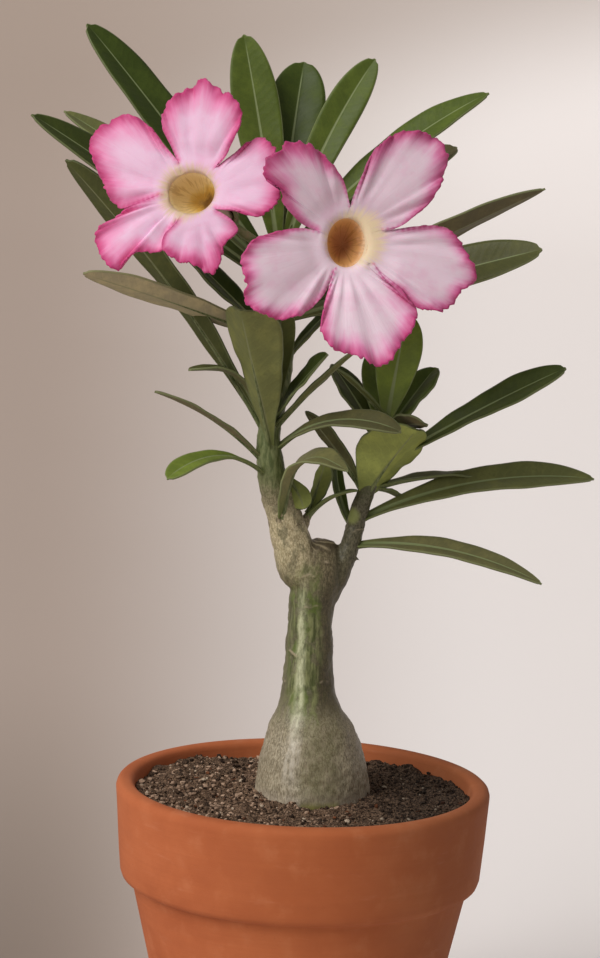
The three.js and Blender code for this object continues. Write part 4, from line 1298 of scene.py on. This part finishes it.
def makeCalyx(flower, finish):
    bm = bmesh.new()
    bm.loops.layers.uv.verify()
    cup = flowerForm["tubeRadius"] + 0.3
    back = -flowerForm["tubeLength"]
    spunShape(bm, [
        (0.01, back - 4), (1.8, back - 3.4), (3.6, back - 1.6), (cup + 1, back + 1),
        (cup + 0.9, back + 3.6), (cup, back + 3.6), (cup, back - 0.3), (0.01, back - 0.3),
    ], calyx["sides"])
    sealUp(bm, 0.02 * mm)
    for number in range(calyx["sepals"]):
        addSepal(bm, math.radians(90 + 360 / calyx["sepals"] * number), cup, back)
    toPlace = flowerFrame(flower)
    bmesh.ops.transform(bm, matrix=toPlace, verts=bm.verts)
    # The stalk bends from its stem into the back of the cup.
    seat = toPlace @ Vector((0, 0, (back - 2.4) * mm)) / mm
    behind = toPlace @ Vector((0, 0, (back - 9) * mm)) / mm
    root = Vector(flower["root"])
    bend = behind.lerp(root, 0.5)
    bend.z -= 0.6
    places = enumerate((root, bend, behind, seat))
    stalk = [Vector((*place, calyx["stalkRadius"] - 0.1 * i)) for i, place in places]
    limbTube(bm, stalk, 16, 30, reference=Vector((1, 0, 0)))
    mesh = newMesh(flower["name"] + "_cup", bm)
    addPiece(flower["name"] + "_cup", mesh, [finish], "calyx", flower["name"] + "_calyx")


greenCalyx = calyxFinish()

for flower in (leftFlower, rightFlower):
    makePetals(flower)
    makeThroat(flower)
    makeCalyx(flower, greenCalyx)
    print(flower["name"], "made")


# The paper sweep and the light.
stage = {
    "floorReach": 9.0,
    "bend": 3.0,
    "bendSteps": 24,
    "wallAt": 6.2,
    "wallTop": 7.0,
    "paintedShadeLeft": (0.50, 0.41, 0.36),
    "paintedLightRight": (1.0, 0.955, 0.95),
    "paintedShadowCorner": (0.29, 0.235, 0.20),
    "paintedShadeTop": (0.42, 0.34, 0.29),
    "keyStrength": 2.32,
    "keyColour": (1.0, 0.975, 0.94),
    "keyTurn": 50,
    "keyRise": 40,
    "keySpread": 42,
    "ambient": 0.27,
    "ambientColour": (1.0, 0.97, 0.945),
}


def backdropFinish():
    material, tree, shader = newMaterial("palePaper")
    place = Wire(newNode(tree, "TexCoord", {}).outputs["Object"])
    soft = place.noise(1.5, 2, 0.5)
    x, y, z = place.split()
    # Behind the plant painted shade on the left and painted light on the right, in a wedge that widens
    # towards the wall.
    side = x / (y + 1.07).reckon("MAXIMUM", 0.7) + soft * 0.012
    back = y.ramp(-0.1, 0.16) * side.reckon("ABSOLUTE").ramp(0.10, 0.34, 1, 0)
    share = (side.ramp(-0.085, 0.072) - 0.6) * back + 0.6
    colour = share.mix(stage["paintedShadeLeft"], stage["paintedLightRight"])
    # Painted shadow in the near left corner.
    cornerShadow = y.ramp(0.0, 0.75, 1, 0) * side.ramp(-0.09, -0.01, 1, 0) * back
    colour = cornerShadow.mix(colour, stage["paintedShadowCorner"])
    # Painted shade at the top of the wall.
    high = z + x.reckon("MAXIMUM", -0.5) * -0.25
    colour = high.ramp(0.02, 0.30, 0, 0.66).mix(colour, stage["paintedShadeTop"])
    dress(shader, colour, 0.9, 0.1)
    return material


def makeStage():
    bm = bmesh.new()
    reach, bend, wall, steps = stage["floorReach"], stage["bend"], stage["wallAt"], stage["bendSteps"]
    rows = [(-reach, 0.0), (wall - bend, 0.0)]
    for i in range(1, steps + 1):
        turn = math.pi / 2 * i / steps
        rows.append((wall - bend + bend * math.sin(turn), bend - bend * math.cos(turn)))
    rows.append((wall, stage["wallTop"]))
    line = [bm.verts.new((-reach, y, z)) for y, z in rows]
    edges = [bm.edges.new(pair) for pair in zip(line, line[1:])]
    made = bmesh.ops.extrude_edge_only(bm, edges=edges)
    moved = [v for v in made["geom"] if isinstance(v, bmesh.types.BMVert)]
    bmesh.ops.translate(bm, verts=moved, vec=(2 * reach, 0, 0))
    bmesh.ops.recalc_face_normals(bm, faces=bm.faces)
    mesh = newMesh("paper_sweep", bm)
    mesh.materials.append(backdropFinish())
    sweep = bpy.data.objects.new("paper_sweep", mesh)
    bpy.context.scene.collection.objects.link(sweep)


def lightScene():
    turn, rise = math.radians(stage["keyTurn"]), math.radians(stage["keyRise"])
    towards = Vector((-math.sin(turn) * math.cos(rise), -math.cos(turn) * math.cos(rise), math.sin(rise)))
    sun = bpy.data.lights.new("key", "SUN")
    sun.energy = stage["keyStrength"]
    sun.angle = math.radians(stage["keySpread"])
    sun.color = stage["keyColour"]
    lamp = bpy.data.objects.new("key", sun)
    bpy.context.scene.collection.objects.link(lamp)
    lamp.location = towards * 3
    lamp.rotation_mode = "QUATERNION"
    lamp.rotation_quaternion = (-towards).to_track_quat("-Z", "Y")
    world = bpy.data.worlds.new("room")
    world.use_nodes = True
    back = world.node_tree.nodes["Background"]
    back.inputs["Color"].default_value = (*stage["ambientColour"], 1)
    back.inputs["Strength"].default_value = stage["ambient"]
    bpy.context.scene.world = world
    bpy.context.scene.view_settings.view_transform = "Standard"


makeStage()
lightScene()
print("stage and light made")
